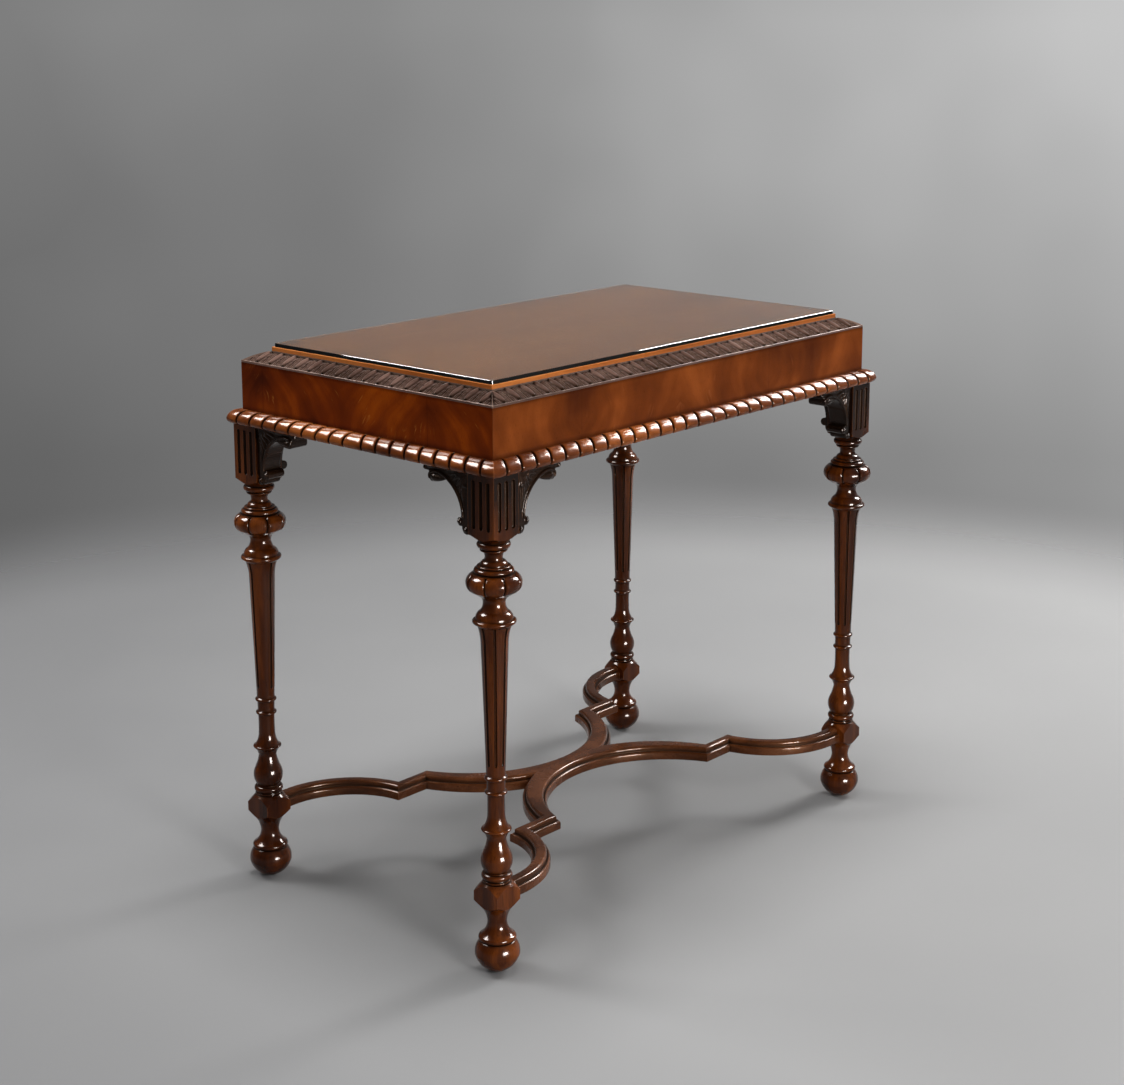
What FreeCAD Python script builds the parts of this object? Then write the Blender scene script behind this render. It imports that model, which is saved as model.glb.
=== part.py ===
import FreeCAD
import Part
import math
import os

# Tea table on four turned and fluted legs, with a gadrooned frieze, a stepped top with
# carved edges and loose plate glass, and a serpentine cross stretcher.
# Millimetres. X runs along the long side, the front is towards -Y, Z is up, and the
# origin is on the floor under the middle of the table.

# --- Overall sizes, between leg axes and above the floor ---------------------------
LEG_SPAN_X = 746.0
LEG_SPAN_Y = 430.0
TABLE_HEIGHT = 740.0

# --- Top: glass on a veneered panel, lipped, with carved edge mouldings -------------
GLASS_THICK = 5.0
GLASS_SETBACK = 2.0          # glass edge inside the face of the lipping
GLASS_CORNER_R = 3.0
LIPPING_HIGH = 5.0
LIPPING_WIDE = 3.5
TOP_VENEER_THICK = 1.0
EDGE_HIGH = 14.5             # carved moulding, from the frieze up to the lipping
EDGE_WIDE = 28.5             # carved moulding, from the frieze face in to the panel
EDGE_FILLET_HIGH = 3.0       # plain strip under the carving
EDGE_FILLET_STEP = 1.0
EDGE_BULGE = 1.5             # how far the carved slope swells above a straight line
TONGUE_LONG = 8.0
TONGUE_HIGH = 5.0
TONGUE_UP = 4.0              # underside of the tongue above the underside of the panel

# --- Frieze ------------------------------------------------------------------------
FRIEZE_PROUD = 12.5          # frieze face outside the leg axis
FRIEZE_HIGH = 62.5
FRIEZE_VENEER = 1.2
RAIL_THICK = 20.0
TENON_THICK = 10.0
TENON_HIGH = 60.0
TENON_LONG = 14.0
MORTISE_SPARE = 1.0          # mortise deeper than the tenon is long

# --- Gadroon moulding, planted on the rail under the frieze veneer ------------------
GADROON_HIGH = 18.5
GADROON_PROUD = 17.5         # nose outside the frieze face
GADROON_NOSE_UP = 7.0        # widest line above the underside
GADROON_UNDERCUT = 5.0       # underside edge inside the nose

# --- Legs --------------------------------------------------------------------------
CAPITAL_SIDE = 43.0
CAPITAL_HIGH = 74.5
CAPITAL_FLUTES = 3
CAPITAL_FLUTE_R = 2.9
CAPITAL_FLUTE_PITCH = 12.0
CAPITAL_FLUTE_LIFT = 10.0    # flute ends inside the foot and the head of the block
LOWER_SIDE = 40.6
LOWER_HIGH = 12.3            # upright corners, between the flares above and below
SHAFT_TOP_R = 17.0
SHAFT_FLUTES = 8
SHAFT_FLUTE_R = 1.9
SHAFT_FLUTE_LIFT = 11.0      # flute ends above the ring under the shaft
SHAFT_FLUTE_KNEE = 0.2       # extra radius where the flute turns out along the flare
BULB_LOBES = 8
BULB_CREASE_WIDE = 6.4
BULB_CREASE_DEEP = 2.4
BULB_CREASE_ROUND = 0.38     # rounding of the flanks: 0.5 leaves them straight
BULB_CREASE_FOOT = -80.0     # degrees round the swell of the bulb, from its widest line
FOOT_PAD_R = 6.0             # flat under the ball foot

# Turned elements from the floor up: (radius part way or None, end radius, rise).
# A radius part way makes the element an arc through it at half its rise.
FOOT_TURNING = [
    (22.8, 28.2, 22.0),      # ball, lower half
    (27.6, 22.8, 18.0),      # ball, upper half
    (None, 21.4, 1.2),       # quirk
    (23.7, 21.6, 6.8),       # collar bead
    (None, 20.4, 0.8),       # step
    (13.9, 12.2, 17.2),      # hollow down to the neck
    (16.0, 28.8, 27.0),      # flare out to the lower block's corners
]
VASE_TURNING = [
    (23.7, 18.4, 12.0),      # shoulder down from the block's corners
    (None, 16.9, 0.7),
    (17.9, 16.6, 3.3),       # small ring
    (None, 16.4, 0.7),
    (19.4, 16.0, 8.5),       # bead
    (None, 15.4, 1.5),       # groove
    (19.7, 18.0, 22.5),      # belly of the vase
    (14.3, 12.1, 17.5),      # shoulder of the vase
    (None, 12.0, 2.5),       # neck of the vase
    (13.9, 17.4, 10.0),      # spread to the flare ring
    (18.9, 17.4, 3.4),       # flare ring
    (None, 16.4, 0.5),       # step
    (12.7, 11.2, 14.6),      # hollow above the ring
    (10.8, 10.9, 28.5),      # plain neck
    (None, 12.5, 0.7),
    (14.0, 12.5, 4.0),       # lower thin ring
    (None, 11.4, 0.7),
    (None, 11.5, 13.0),
    (None, 12.8, 0.7),
    (14.3, 12.8, 4.2),       # upper thin ring
    (None, 12.0, 0.7),
    (None, 12.0, 4.5),
]
COLLAR_TURNING = [
    (18.0, 21.0, 23.0),      # flare at the head of the shaft
    (None, 24.0, 2.6),       # underside of the rim
    (26.9, 24.6, 5.6),       # rim
    (None, 23.2, 0.5),       # step
    (22.0, 17.2, 10.0),      # dome
    (14.6, 13.8, 10.0),      # hollow neck
    (14.9, 19.8, 9.3),       # spread to the bulb
]
BULB_TURNING = [
    (None, 30.5, 6.5),       # underside
    (34.3, 26.8, 20.5),      # swell
]
NECK_TURNING = [
    (None, 23.4, 0.8),       # groove over the bulb
    (24.6, 20.8, 6.4),       # large bead
    (None, 19.9, 0.4),
    (20.7, 18.6, 2.4),       # thin ring
    (None, 16.9, 0.3),
    (15.9, 11.6, 6.4),       # dome
    (11.0, 11.6, 7.4),       # neck
    (12.3, 14.8, 3.4),       # spread again
    (16.8, 15.4, 3.4),       # small bead
    (None, 17.2, 0.5),
    (20.6, 18.4, 8.0),       # bead under the capital
    (None, 18.7, 1.0),
    (23.0, 30.6, 8.0),       # flare to the capital's corners
]

# --- Knee brackets under the rails ---------------------------------------------------
BRACKET_SETBACK = 2.0        # bracket face behind the face of the capital
BRACKET_REACH = 98.0         # end of the top strip, from the leg axis
BRACKET_STRIP_HIGH = 8.0
ROLL_R = 6.1                 # scroll that the arch ends in
ROLL_OUT = 83.8              # roll centre, from the leg axis
ROLL_DROP = 14.7             # roll centre below the rail
ARCH_TOP_OUT = 72.5          # crown of the arch, from the leg axis
ARCH_MID_OUT = 46.5
ARCH_MID_DROP = 25.0
ARCH_FOOT_OUT = 34.2
ARCH_FOOT_DROP = 58.0
BEAD_OUT = 43.0              # little ball at the foot of the arch
BEAD_DROP = 63.0
TAIL_OUT = 34.4              # lower scroll beside the block
TAIL_DROP = 67.8
TAIL_SWELL_OUT = 31.0
TAIL_SWELL_DROP = 76.5
TAIL_END_DROP = 74.5

# --- Serpentine stretcher ------------------------------------------------------------
STRETCHER_TOP = 111.0
STRETCHER_HIGH = 19.5
# Section of its edges from the underside up: (inset, height), eased and stepped in.
STRETCHER_SECTION = [
    (0.0, 0.0),
    (0.0, 9.0),
    (2.8, 12.1),             # eased edge of the lower member
    (4.7, 12.1),             # step
    (4.7, 17.1),
    (6.8, STRETCHER_HIGH),   # eased edge of the upper member
]
ARM_WIDE = 24.3
ARM_SWEEP_R = 115.3          # centre line of the sweep into the leg
ARM_STRAIGHT = 35.7          # sweep centre before the leg axis
LONG_SIDE_R = 170.5          # hollow of the long sides
LONG_SIDE_WAIST = 18.5       # edge of the hollow from the middle of the table
LONG_SIDE_NOTCH = 128.5      # square notch in the long side, from the middle
END_CROTCH = 84.0            # where the two halves meet at the ends, from the middle
END_SIDE_R = 194.0
END_CORNER = 180.0           # inner corner of the notch in the end side
END_SIDE_NOTCH = 105.9
STRETCHER_TENON_HIGH = 9.0
STRETCHER_TENON_WIDE = 14.0
STRETCHER_TENON_LONG = 13.0
DOWEL_R = 4.0
DOWEL_LONG = 30.0
DOWEL_OUT = 42.0             # dowels from the middle

# --- Glue blocks and screws under the top --------------------------------------------
GLUE_BLOCK_WIDE = 26.0
GLUE_BLOCK_HIGH = 18.0
GLUE_BLOCK_LONG = 70.0
GLUE_BLOCKS_PER_LONG_RAIL = 3
GLUE_BLOCK_PITCH = 210.0
SCREW_R = 2.0
SCREW_HEAD_R = 4.0
SCREW_HEAD_HIGH = 2.6
SCREW_LONG = 28.0
SCREW_IN = 17.0              # screw axis from the rail's inner face

# --- Levels and plan sizes that follow from the above --------------------------------
GLASS_BOTTOM = TABLE_HEIGHT - GLASS_THICK
EDGE_TOP = GLASS_BOTTOM - LIPPING_HIGH
FRIEZE_TOP = EDGE_TOP - EDGE_HIGH
FRIEZE_BOTTOM = FRIEZE_TOP - FRIEZE_HIGH
CAPITAL_TOP = FRIEZE_BOTTOM - GADROON_HIGH
CAPITAL_BOTTOM = CAPITAL_TOP - CAPITAL_HIGH
LEG_X = LEG_SPAN_X / 2
LEG_Y = LEG_SPAN_Y / 2
FRIEZE_X = LEG_X + FRIEZE_PROUD
FRIEZE_Y = LEG_Y + FRIEZE_PROUD
RAIL_FACE = FRIEZE_PROUD - FRIEZE_VENEER
RAIL_BACK = RAIL_THICK - RAIL_FACE
POST_IN = CAPITAL_SIDE / 2
TENON_OUT = RAIL_FACE - (RAIL_THICK - TENON_THICK) / 2
TENON_Z = CAPITAL_TOP + (FRIEZE_TOP - CAPITAL_TOP - TENON_HIGH) / 2
STRETCHER_BOTTOM = STRETCHER_TOP - STRETCHER_HIGH
STRETCHER_TENON_Z = STRETCHER_BOTTOM + (STRETCHER_HIGH - STRETCHER_TENON_HIGH) / 2
LOWER_BOTTOM = sum(rise for _, _, rise in FOOT_TURNING)
LOWER_TOP = LOWER_BOTTOM + LOWER_HIGH
SHAFT_BOTTOM = LOWER_TOP + sum(rise for _, _, rise in VASE_TURNING)
NECK_BOTTOM = CAPITAL_BOTTOM - sum(rise for _, _, rise in NECK_TURNING)
BULB_BOTTOM = NECK_BOTTOM - sum(rise for _, _, rise in BULB_TURNING)
SHAFT_TOP = BULB_BOTTOM - sum(rise for _, _, rise in COLLAR_TURNING)

CORNERS = {
    "front_left": (-1, -1),
    "front_right": (1, -1),
    "back_left": (-1, 1),
    "back_right": (1, 1),
}


def point(x, y, z):
    return FreeCAD.Vector(x, y, z)


def block(x_span, y_span, z_span):
    """Box between two x, two y and two z values."""
    size = [abs(high - low) for low, high in (x_span, y_span, z_span)]
    corner = point(min(x_span), min(y_span), min(z_span))
    return Part.makeBox(size[0], size[1], size[2], corner)


def line(start, end):
    return Part.LineSegment(start, end).toShape()


def arc(start, middle, end):
    return Part.Arc(start, middle, end).toShape()


def prism(edges, direction):
    """Solid swept in a straight line from a closed chain of flat edges."""
    return Part.Face(Part.Wire(edges)).extrude(direction)


def to_corner(shape, side_x, side_y):
    """Move a piece drawn about the front left leg axis to the leg on the given sides."""
    moved = shape.copy()
    moved.translate(point(-LEG_X, -LEG_Y, 0))
    if side_x > 0:
        moved = moved.mirror(point(0, 0, 0), point(1, 0, 0))
    if side_y > 0:
        moved = moved.mirror(point(0, 0, 0), point(0, 1, 0))
    return moved


def turned(elements, start_radius, start_height, shrink=0.0):
    """Solid of revolution about Z, built up from a list of turned elements."""
    radius = start_radius - shrink
    height = start_height
    edges = [line(point(0, 0, height), point(radius, 0, height))]
    for part_way, end_radius, rise in elements:
        start = point(radius, 0, height)
        end = point(end_radius - shrink, 0, height + rise)
        if part_way is None:
            edges.append(line(start, end))
        else:
            edges.append(arc(start, point(part_way - shrink, 0, height + rise / 2), end))
        radius = end_radius - shrink
        height += rise
    edges.append(line(point(radius, 0, height), point(0, 0, height)))
    edges.append(line(point(0, 0, height), point(0, 0, start_height)))
    face = Part.Face(Part.Wire(edges))
    return face.revolve(point(0, 0, 0), point(0, 0, 1), 360)


def end_radius(elements):
    return elements[-1][1]


def column(side, low, high):
    """Square column about the leg axis between two heights."""
    return block((-side / 2, side / 2), (-side / 2, side / 2), (low, high))


def squared(shape, side, low, high):
    """Cut a turned piece back to a square column between two heights."""
    return shape.common(column(side, low, high))


def capital_flutes():
    """Round-ended flutes on the two outer faces of the capital."""
    face = -CAPITAL_SIDE / 2
    low = CAPITAL_BOTTOM + CAPITAL_FLUTE_LIFT
    high = CAPITAL_TOP - CAPITAL_FLUTE_LIFT
    cutters = []
    for index in range(CAPITAL_FLUTES):
        along = (index - (CAPITAL_FLUTES - 1) / 2) * CAPITAL_FLUTE_PITCH
        for x, y in ((face, along), (along, face)):
            cutters.append(Part.makeCylinder(CAPITAL_FLUTE_R, high - low, point(x, y, low)))
            cutters.append(Part.makeSphere(CAPITAL_FLUTE_R, point(x, y, low)))
            cutters.append(Part.makeSphere(CAPITAL_FLUTE_R, point(x, y, high)))
    return cutters


def swing(section, centre, start, end):
    """Sweep a flat section upright round a centre in the plane y = 0, from start to end."""
    start_angle = math.atan2(start.z - centre.z, start.x - centre.x)
    end_angle = math.atan2(end.z - centre.z, end.x - centre.x)
    turn = (math.degrees(end_angle - start_angle) + 180) % 360 - 180
    return section.revolve(centre, point(0, -math.copysign(1, turn), 0), abs(turn))


def around_axis(shape, count, first):
    """Copies of a shape evenly round Z, the first one turned by part of a step."""
    copies = []
    for index in range(count):
        turned_copy = shape.copy()
        turned_copy.rotate(point(0, 0, 0), point(0, 0, 1), (index + first) * 360 / count)
        copies.append(turned_copy)
    return copies


def shaft_flutes():
    """Flutes up the tapered shaft and out along the flare at its head."""
    low_radius = end_radius(VASE_TURNING)
    slope = (SHAFT_TOP_R - low_radius) / (SHAFT_TOP - SHAFT_BOTTOM)
    foot = point(low_radius + slope * SHAFT_FLUTE_LIFT, 0, SHAFT_BOTTOM + SHAFT_FLUTE_LIFT)
    knee = point(SHAFT_TOP_R, 0, SHAFT_TOP)
    flare_mid, flare_end, flare_rise = COLLAR_TURNING[0]
    head = point(flare_end, 0, SHAFT_TOP + flare_rise)
    centre = arc(knee, point(flare_mid, 0, SHAFT_TOP + flare_rise / 2), head).Curve.Center
    across = point(0, 1, 0).cross(knee - centre)
    round_face = Part.Face(Part.Wire(Part.makeCircle(SHAFT_FLUTE_R, knee, across)))
    run = knee - foot
    flute = Part.makeCylinder(SHAFT_FLUTE_R, run.Length, foot, run)
    flute = flute.fuse(Part.makeSphere(SHAFT_FLUTE_R, foot))
    flute = flute.fuse(Part.makeSphere(SHAFT_FLUTE_R + SHAFT_FLUTE_KNEE, knee))
    flute = flute.fuse(swing(round_face, centre, knee, head))
    return around_axis(flute, SHAFT_FLUTES, 0)


def bulb_creases():
    """Creases between the lobes, with rounded flanks, following the swell of the bulb."""
    swell_foot = BULB_BOTTOM + BULB_TURNING[0][2]
    mid_radius, top_radius, rise = BULB_TURNING[1]
    head = point(top_radius, 0, swell_foot + rise)
    swell = arc(point(end_radius(BULB_TURNING[:1]), 0, swell_foot),
                point(mid_radius, 0, swell_foot + rise / 2), head).Curve
    centre = swell.Center
    surface = centre.x + swell.Radius
    deep = surface - BULB_CREASE_DEEP
    half = BULB_CREASE_WIDE / 2
    flank = surface - BULB_CREASE_DEEP * BULB_CREASE_ROUND
    flank_out = half * BULB_CREASE_ROUND
    clear = surface + BULB_CREASE_DEEP

    def spot(x, y):
        return point(x, y, centre.z)

    section = Part.Face(Part.Wire([
        arc(spot(deep, 0), spot(flank, flank_out), spot(surface, half)),
        line(spot(surface, half), spot(clear, half)),
        line(spot(clear, half), spot(clear, -half)),
        line(spot(clear, -half), spot(surface, -half)),
        arc(spot(surface, -half), spot(flank, -flank_out), spot(deep, 0)),
    ]))
    section.rotate(centre, point(0, -1, 0), BULB_CREASE_FOOT)
    start = math.radians(BULB_CREASE_FOOT)
    foot = centre + point(math.cos(start), 0, math.sin(start))
    crease = swing(section, centre, foot, head)
    return around_axis(crease, BULB_LOBES, 0.5)


def leg():
    """Front left leg about its own axis, with its outer faces towards -X and -Y."""
    foot = turned(FOOT_TURNING, FOOT_PAD_R, 0)
    foot_split = LOWER_BOTTOM - FOOT_TURNING[-1][2]
    vase = turned(VASE_TURNING, end_radius(FOOT_TURNING), LOWER_TOP)
    vase_split = LOWER_TOP + VASE_TURNING[0][2]
    neck = turned(NECK_TURNING, end_radius(BULB_TURNING), NECK_BOTTOM)
    neck_split = CAPITAL_BOTTOM - NECK_TURNING[-1][2]

    lower = squared(foot, LOWER_SIDE, foot_split, LOWER_BOTTOM)
    lower = lower.fuse(column(LOWER_SIDE, LOWER_BOTTOM, LOWER_TOP))
    lower = lower.fuse(squared(vase, LOWER_SIDE, LOWER_TOP, vase_split))
    lower = lower.cut(stretcher_mortise())

    shaft_turning = [(None, SHAFT_TOP_R, SHAFT_TOP - SHAFT_BOTTOM)] + COLLAR_TURNING
    shaft = turned(shaft_turning, end_radius(VASE_TURNING), SHAFT_BOTTOM).cut(shaft_flutes())
    bulb = turned(BULB_TURNING, end_radius(COLLAR_TURNING), BULB_BOTTOM).cut(bulb_creases())

    capital = column(CAPITAL_SIDE, CAPITAL_BOTTOM, CAPITAL_TOP).cut(capital_flutes())
    post = block((-RAIL_FACE, POST_IN), (-RAIL_FACE, POST_IN), (CAPITAL_TOP, FRIEZE_TOP))
    post = post.cut([mortise_x(), mortise_y()])

    pieces = [
        lower,
        squared(vase, CAPITAL_SIDE * 2, vase_split, SHAFT_BOTTOM),
        shaft,
        bulb,
        squared(neck, CAPITAL_SIDE * 2, NECK_BOTTOM, neck_split),
        squared(neck, CAPITAL_SIDE, neck_split, CAPITAL_BOTTOM),
        capital,
        post,
    ]
    return squared(foot, CAPITAL_SIDE * 2, 0, foot_split).multiFuse(pieces).removeSplitter()


def mortise_x():
    """Mortise in the post for the tenon of the rail that runs along X."""
    depth = TENON_LONG + MORTISE_SPARE
    return block((POST_IN - depth, POST_IN), (-TENON_OUT, TENON_THICK - TENON_OUT),
                 (TENON_Z, TENON_Z + TENON_HIGH))


def mortise_y():
    depth = TENON_LONG + MORTISE_SPARE
    return block((-TENON_OUT, TENON_THICK - TENON_OUT), (POST_IN - depth, POST_IN),
                 (TENON_Z, TENON_Z + TENON_HIGH))


def stretcher_mortise():
    depth = STRETCHER_TENON_LONG + MORTISE_SPARE
    half = STRETCHER_TENON_WIDE / 2
    return block((LOWER_SIDE / 2 - depth, LOWER_SIDE / 2), (-half, half),
                 (STRETCHER_TENON_Z, STRETCHER_TENON_Z + STRETCHER_TENON_HIGH))


def long_rail():
    """Front rail, with a tenon at each end."""
    end = LEG_X - POST_IN
    tip = end + TENON_LONG
    face = -LEG_Y - RAIL_FACE
    body = block((-end, end), (face, face + RAIL_THICK), (CAPITAL_TOP, FRIEZE_TOP))
    tenon = block((-tip, tip), (-LEG_Y - TENON_OUT, -LEG_Y - TENON_OUT + TENON_THICK),
                  (TENON_Z, TENON_Z + TENON_HIGH))
    return body.fuse(tenon).removeSplitter()


def short_rail():
    """Left rail, with a tenon at each end."""
    end = LEG_Y - POST_IN
    tip = end + TENON_LONG
    face = -LEG_X - RAIL_FACE
    body = block((face, face + RAIL_THICK), (-end, end), (CAPITAL_TOP, FRIEZE_TOP))
    tenon = block((-LEG_X - TENON_OUT, -LEG_X - TENON_OUT + TENON_THICK), (-tip, tip),
                  (TENON_Z, TENON_Z + TENON_HIGH))
    return body.fuse(tenon).removeSplitter()


def mitre_prism_x(outer_x, outer_y, wide, low, high):
    """Block on the front side with 45 degree ends, to mitre a strip of the given width."""
    corners = [(-outer_x, -outer_y), (outer_x, -outer_y),
               (outer_x - wide, wide - outer_y), (wide - outer_x, wide - outer_y)]
    points = [point(x, y, low) for x, y in corners]
    edges = [line(points[index - 1], points[index]) for index in range(len(points))]
    return prism(edges, point(0, 0, high - low))


def mitre_prism_y(outer_x, outer_y, wide, low, high):
    """The same on the left side."""
    turned_block = mitre_prism_x(outer_y, outer_x, wide, low, high)
    turned_block.rotate(point(0, 0, 0), point(0, 0, 1), -90)
    return turned_block


def moulding_pair(section, outer_x, outer_y, wide, low, high):
    """Front and left lengths of a moulding, mitred at the corners.

    section(distance) gives the edges of the cross-section in the plane x = 0, for a
    moulding whose outermost face is that distance from the table's middle.
    """
    front = prism(section(outer_y), point(2 * outer_x, 0, 0))
    front.translate(point(-outer_x, 0, 0))
    front = front.common(mitre_prism_x(outer_x, outer_y, wide, low, high))
    left = prism(section(outer_x), point(2 * outer_y, 0, 0))
    left.translate(point(-outer_y, 0, 0))
    left.rotate(point(0, 0, 0), point(0, 0, 1), -90)
    left = left.common(mitre_prism_y(outer_x, outer_y, wide, low, high))
    return front, left


def gadroon_section(outer):
    """Nosing: a long curve over the top, a short one under the nose."""
    nose = -outer
    back = nose + GADROON_PROUD + FRIEZE_VENEER
    face = nose + GADROON_PROUD
    nose_z = CAPITAL_TOP + GADROON_NOSE_UP
    over = point(0, nose + GADROON_PROUD * 0.26, FRIEZE_BOTTOM - GADROON_HIGH * 0.2)
    under = point(0, nose + GADROON_UNDERCUT * 0.24, CAPITAL_TOP + GADROON_NOSE_UP * 0.34)
    foot = point(0, nose + GADROON_UNDERCUT, CAPITAL_TOP)
    return [
        line(point(0, back, CAPITAL_TOP), point(0, back, FRIEZE_BOTTOM)),
        line(point(0, back, FRIEZE_BOTTOM), point(0, face, FRIEZE_BOTTOM)),
        arc(point(0, face, FRIEZE_BOTTOM), over, point(0, nose, nose_z)),
        arc(point(0, nose, nose_z), under, foot),
        line(foot, point(0, back, CAPITAL_TOP)),
    ]


def edge_section(outer):
    """Carved edge: plain fillet, then a swelling slope up to the panel."""
    face = -outer
    slope_foot = point(0, face + EDGE_FILLET_STEP, FRIEZE_TOP + EDGE_FILLET_HIGH)
    slope_head = point(0, face + EDGE_WIDE, EDGE_TOP)
    middle = (slope_foot + slope_head) * 0.5 + point(0, 0, EDGE_BULGE)
    return [
        line(point(0, face, FRIEZE_TOP), point(0, face, FRIEZE_TOP + EDGE_FILLET_HIGH)),
        line(point(0, face, FRIEZE_TOP + EDGE_FILLET_HIGH), slope_foot),
        arc(slope_foot, middle, slope_head),
        line(slope_head, point(0, face + EDGE_WIDE, FRIEZE_TOP)),
        line(point(0, face + EDGE_WIDE, FRIEZE_TOP), point(0, face, FRIEZE_TOP)),
    ]


def lipping_section(outer):
    face = -outer
    corners = [point(0, face, EDGE_TOP), point(0, face + LIPPING_WIDE, EDGE_TOP),
               point(0, face + LIPPING_WIDE, GLASS_BOTTOM), point(0, face, GLASS_BOTTOM)]
    return [line(corners[index - 1], corners[index]) for index in range(4)]


def panel_half_sizes(inset=0.0):
    """Half length and half width of the panel, less an inset."""
    return FRIEZE_X - EDGE_WIDE - inset, FRIEZE_Y - EDGE_WIDE - inset


def tongue():
    """Ring around the panel that enters the edge mouldings."""
    half_x, half_y = panel_half_sizes(-TONGUE_LONG)
    low = FRIEZE_TOP + TONGUE_UP
    return block((-half_x, half_x), (-half_y, half_y), (low, low + TONGUE_HIGH))


def top_panel(screws):
    half_x, half_y = panel_half_sizes()
    rebate_x, rebate_y = panel_half_sizes(LIPPING_WIDE)
    body = block((-half_x, half_x), (-half_y, half_y), (FRIEZE_TOP, EDGE_TOP))
    raised = block((-rebate_x, rebate_x), (-rebate_y, rebate_y),
                   (EDGE_TOP, GLASS_BOTTOM - TOP_VENEER_THICK))
    return body.fuse([raised, tongue()]).removeSplitter().cut(screws)


def top_veneer():
    half_x, half_y = panel_half_sizes(LIPPING_WIDE)
    return block((-half_x, half_x), (-half_y, half_y),
                 (GLASS_BOTTOM - TOP_VENEER_THICK, GLASS_BOTTOM))


def glass_top():
    half_x, half_y = panel_half_sizes(GLASS_SETBACK)
    sheet = block((-half_x, half_x), (-half_y, half_y), (GLASS_BOTTOM, TABLE_HEIGHT))
    upright = [edge for edge in sheet.Edges if abs(edge.tangentAt(edge.FirstParameter).z) > 0.5]
    return sheet.makeFillet(GLASS_CORNER_R, upright)


def frieze_veneers():
    """Front and left veneers; the left one is let in between the front and back ones."""
    front = block((-FRIEZE_X, FRIEZE_X), (-FRIEZE_Y, FRIEZE_VENEER - FRIEZE_Y),
                  (FRIEZE_BOTTOM, FRIEZE_TOP))
    left = block((-FRIEZE_X, FRIEZE_VENEER - FRIEZE_X),
                 (FRIEZE_VENEER - FRIEZE_Y, FRIEZE_Y - FRIEZE_VENEER),
                 (FRIEZE_BOTTOM, FRIEZE_TOP))
    return front, left


def bracket():
    """Scrolled knee bracket on the +X side of the front left leg, about the leg axis."""
    front = BRACKET_SETBACK - CAPITAL_SIDE / 2

    def spot(out, drop):
        return point(out, front, CAPITAL_TOP - drop)

    strip_end = spot(BRACKET_REACH, BRACKET_STRIP_HIGH)
    roll_top = spot(ROLL_OUT + ROLL_R, BRACKET_STRIP_HIGH)
    roll_out = spot(ROLL_OUT + ROLL_R, ROLL_DROP)
    roll_in = spot(ROLL_OUT - ROLL_R, ROLL_DROP)
    crown = spot(ARCH_TOP_OUT, BRACKET_STRIP_HIGH)
    arch_foot = spot(ARCH_FOOT_OUT, ARCH_FOOT_DROP)
    tail = spot(TAIL_OUT, TAIL_DROP)
    tail_end = spot(POST_IN, TAIL_END_DROP)
    roll_swing = ROLL_R * math.sqrt(0.5)
    edges = [
        line(spot(POST_IN, 0), spot(BRACKET_REACH, 0)),
        line(spot(BRACKET_REACH, 0), strip_end),
        line(strip_end, roll_top),
        line(roll_top, roll_out),
        arc(roll_out, spot(ROLL_OUT, ROLL_DROP + ROLL_R), roll_in),
        arc(roll_in, spot(ARCH_TOP_OUT + roll_swing, ROLL_DROP - roll_swing), crown),
        arc(crown, spot(ARCH_MID_OUT, ARCH_MID_DROP), arch_foot),
        arc(arch_foot, spot(BEAD_OUT, BEAD_DROP), tail),
        arc(tail, spot(TAIL_SWELL_OUT, TAIL_SWELL_DROP), tail_end),
        line(tail_end, spot(POST_IN, 0)),
    ]
    return prism(edges, point(0, RAIL_BACK - front, 0))


def swap_sides(shape):
    """Turn a piece on the +X side of the front left leg into the one on its +Y side."""
    return shape.mirror(point(0, 0, 0), point(1, -1, 0))


def circle_x(centre_x, centre_y, radius, y):
    """The smaller x at which a circle crosses the given y."""
    return centre_x - math.sqrt(radius ** 2 - (y - centre_y) ** 2)


def between(centre, radius, start, end):
    """Arc about a centre from one point to another, the short way round."""
    middle = (start - centre).normalize() + (end - centre).normalize()
    return arc(start, centre + middle.normalize() * radius, end)


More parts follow.
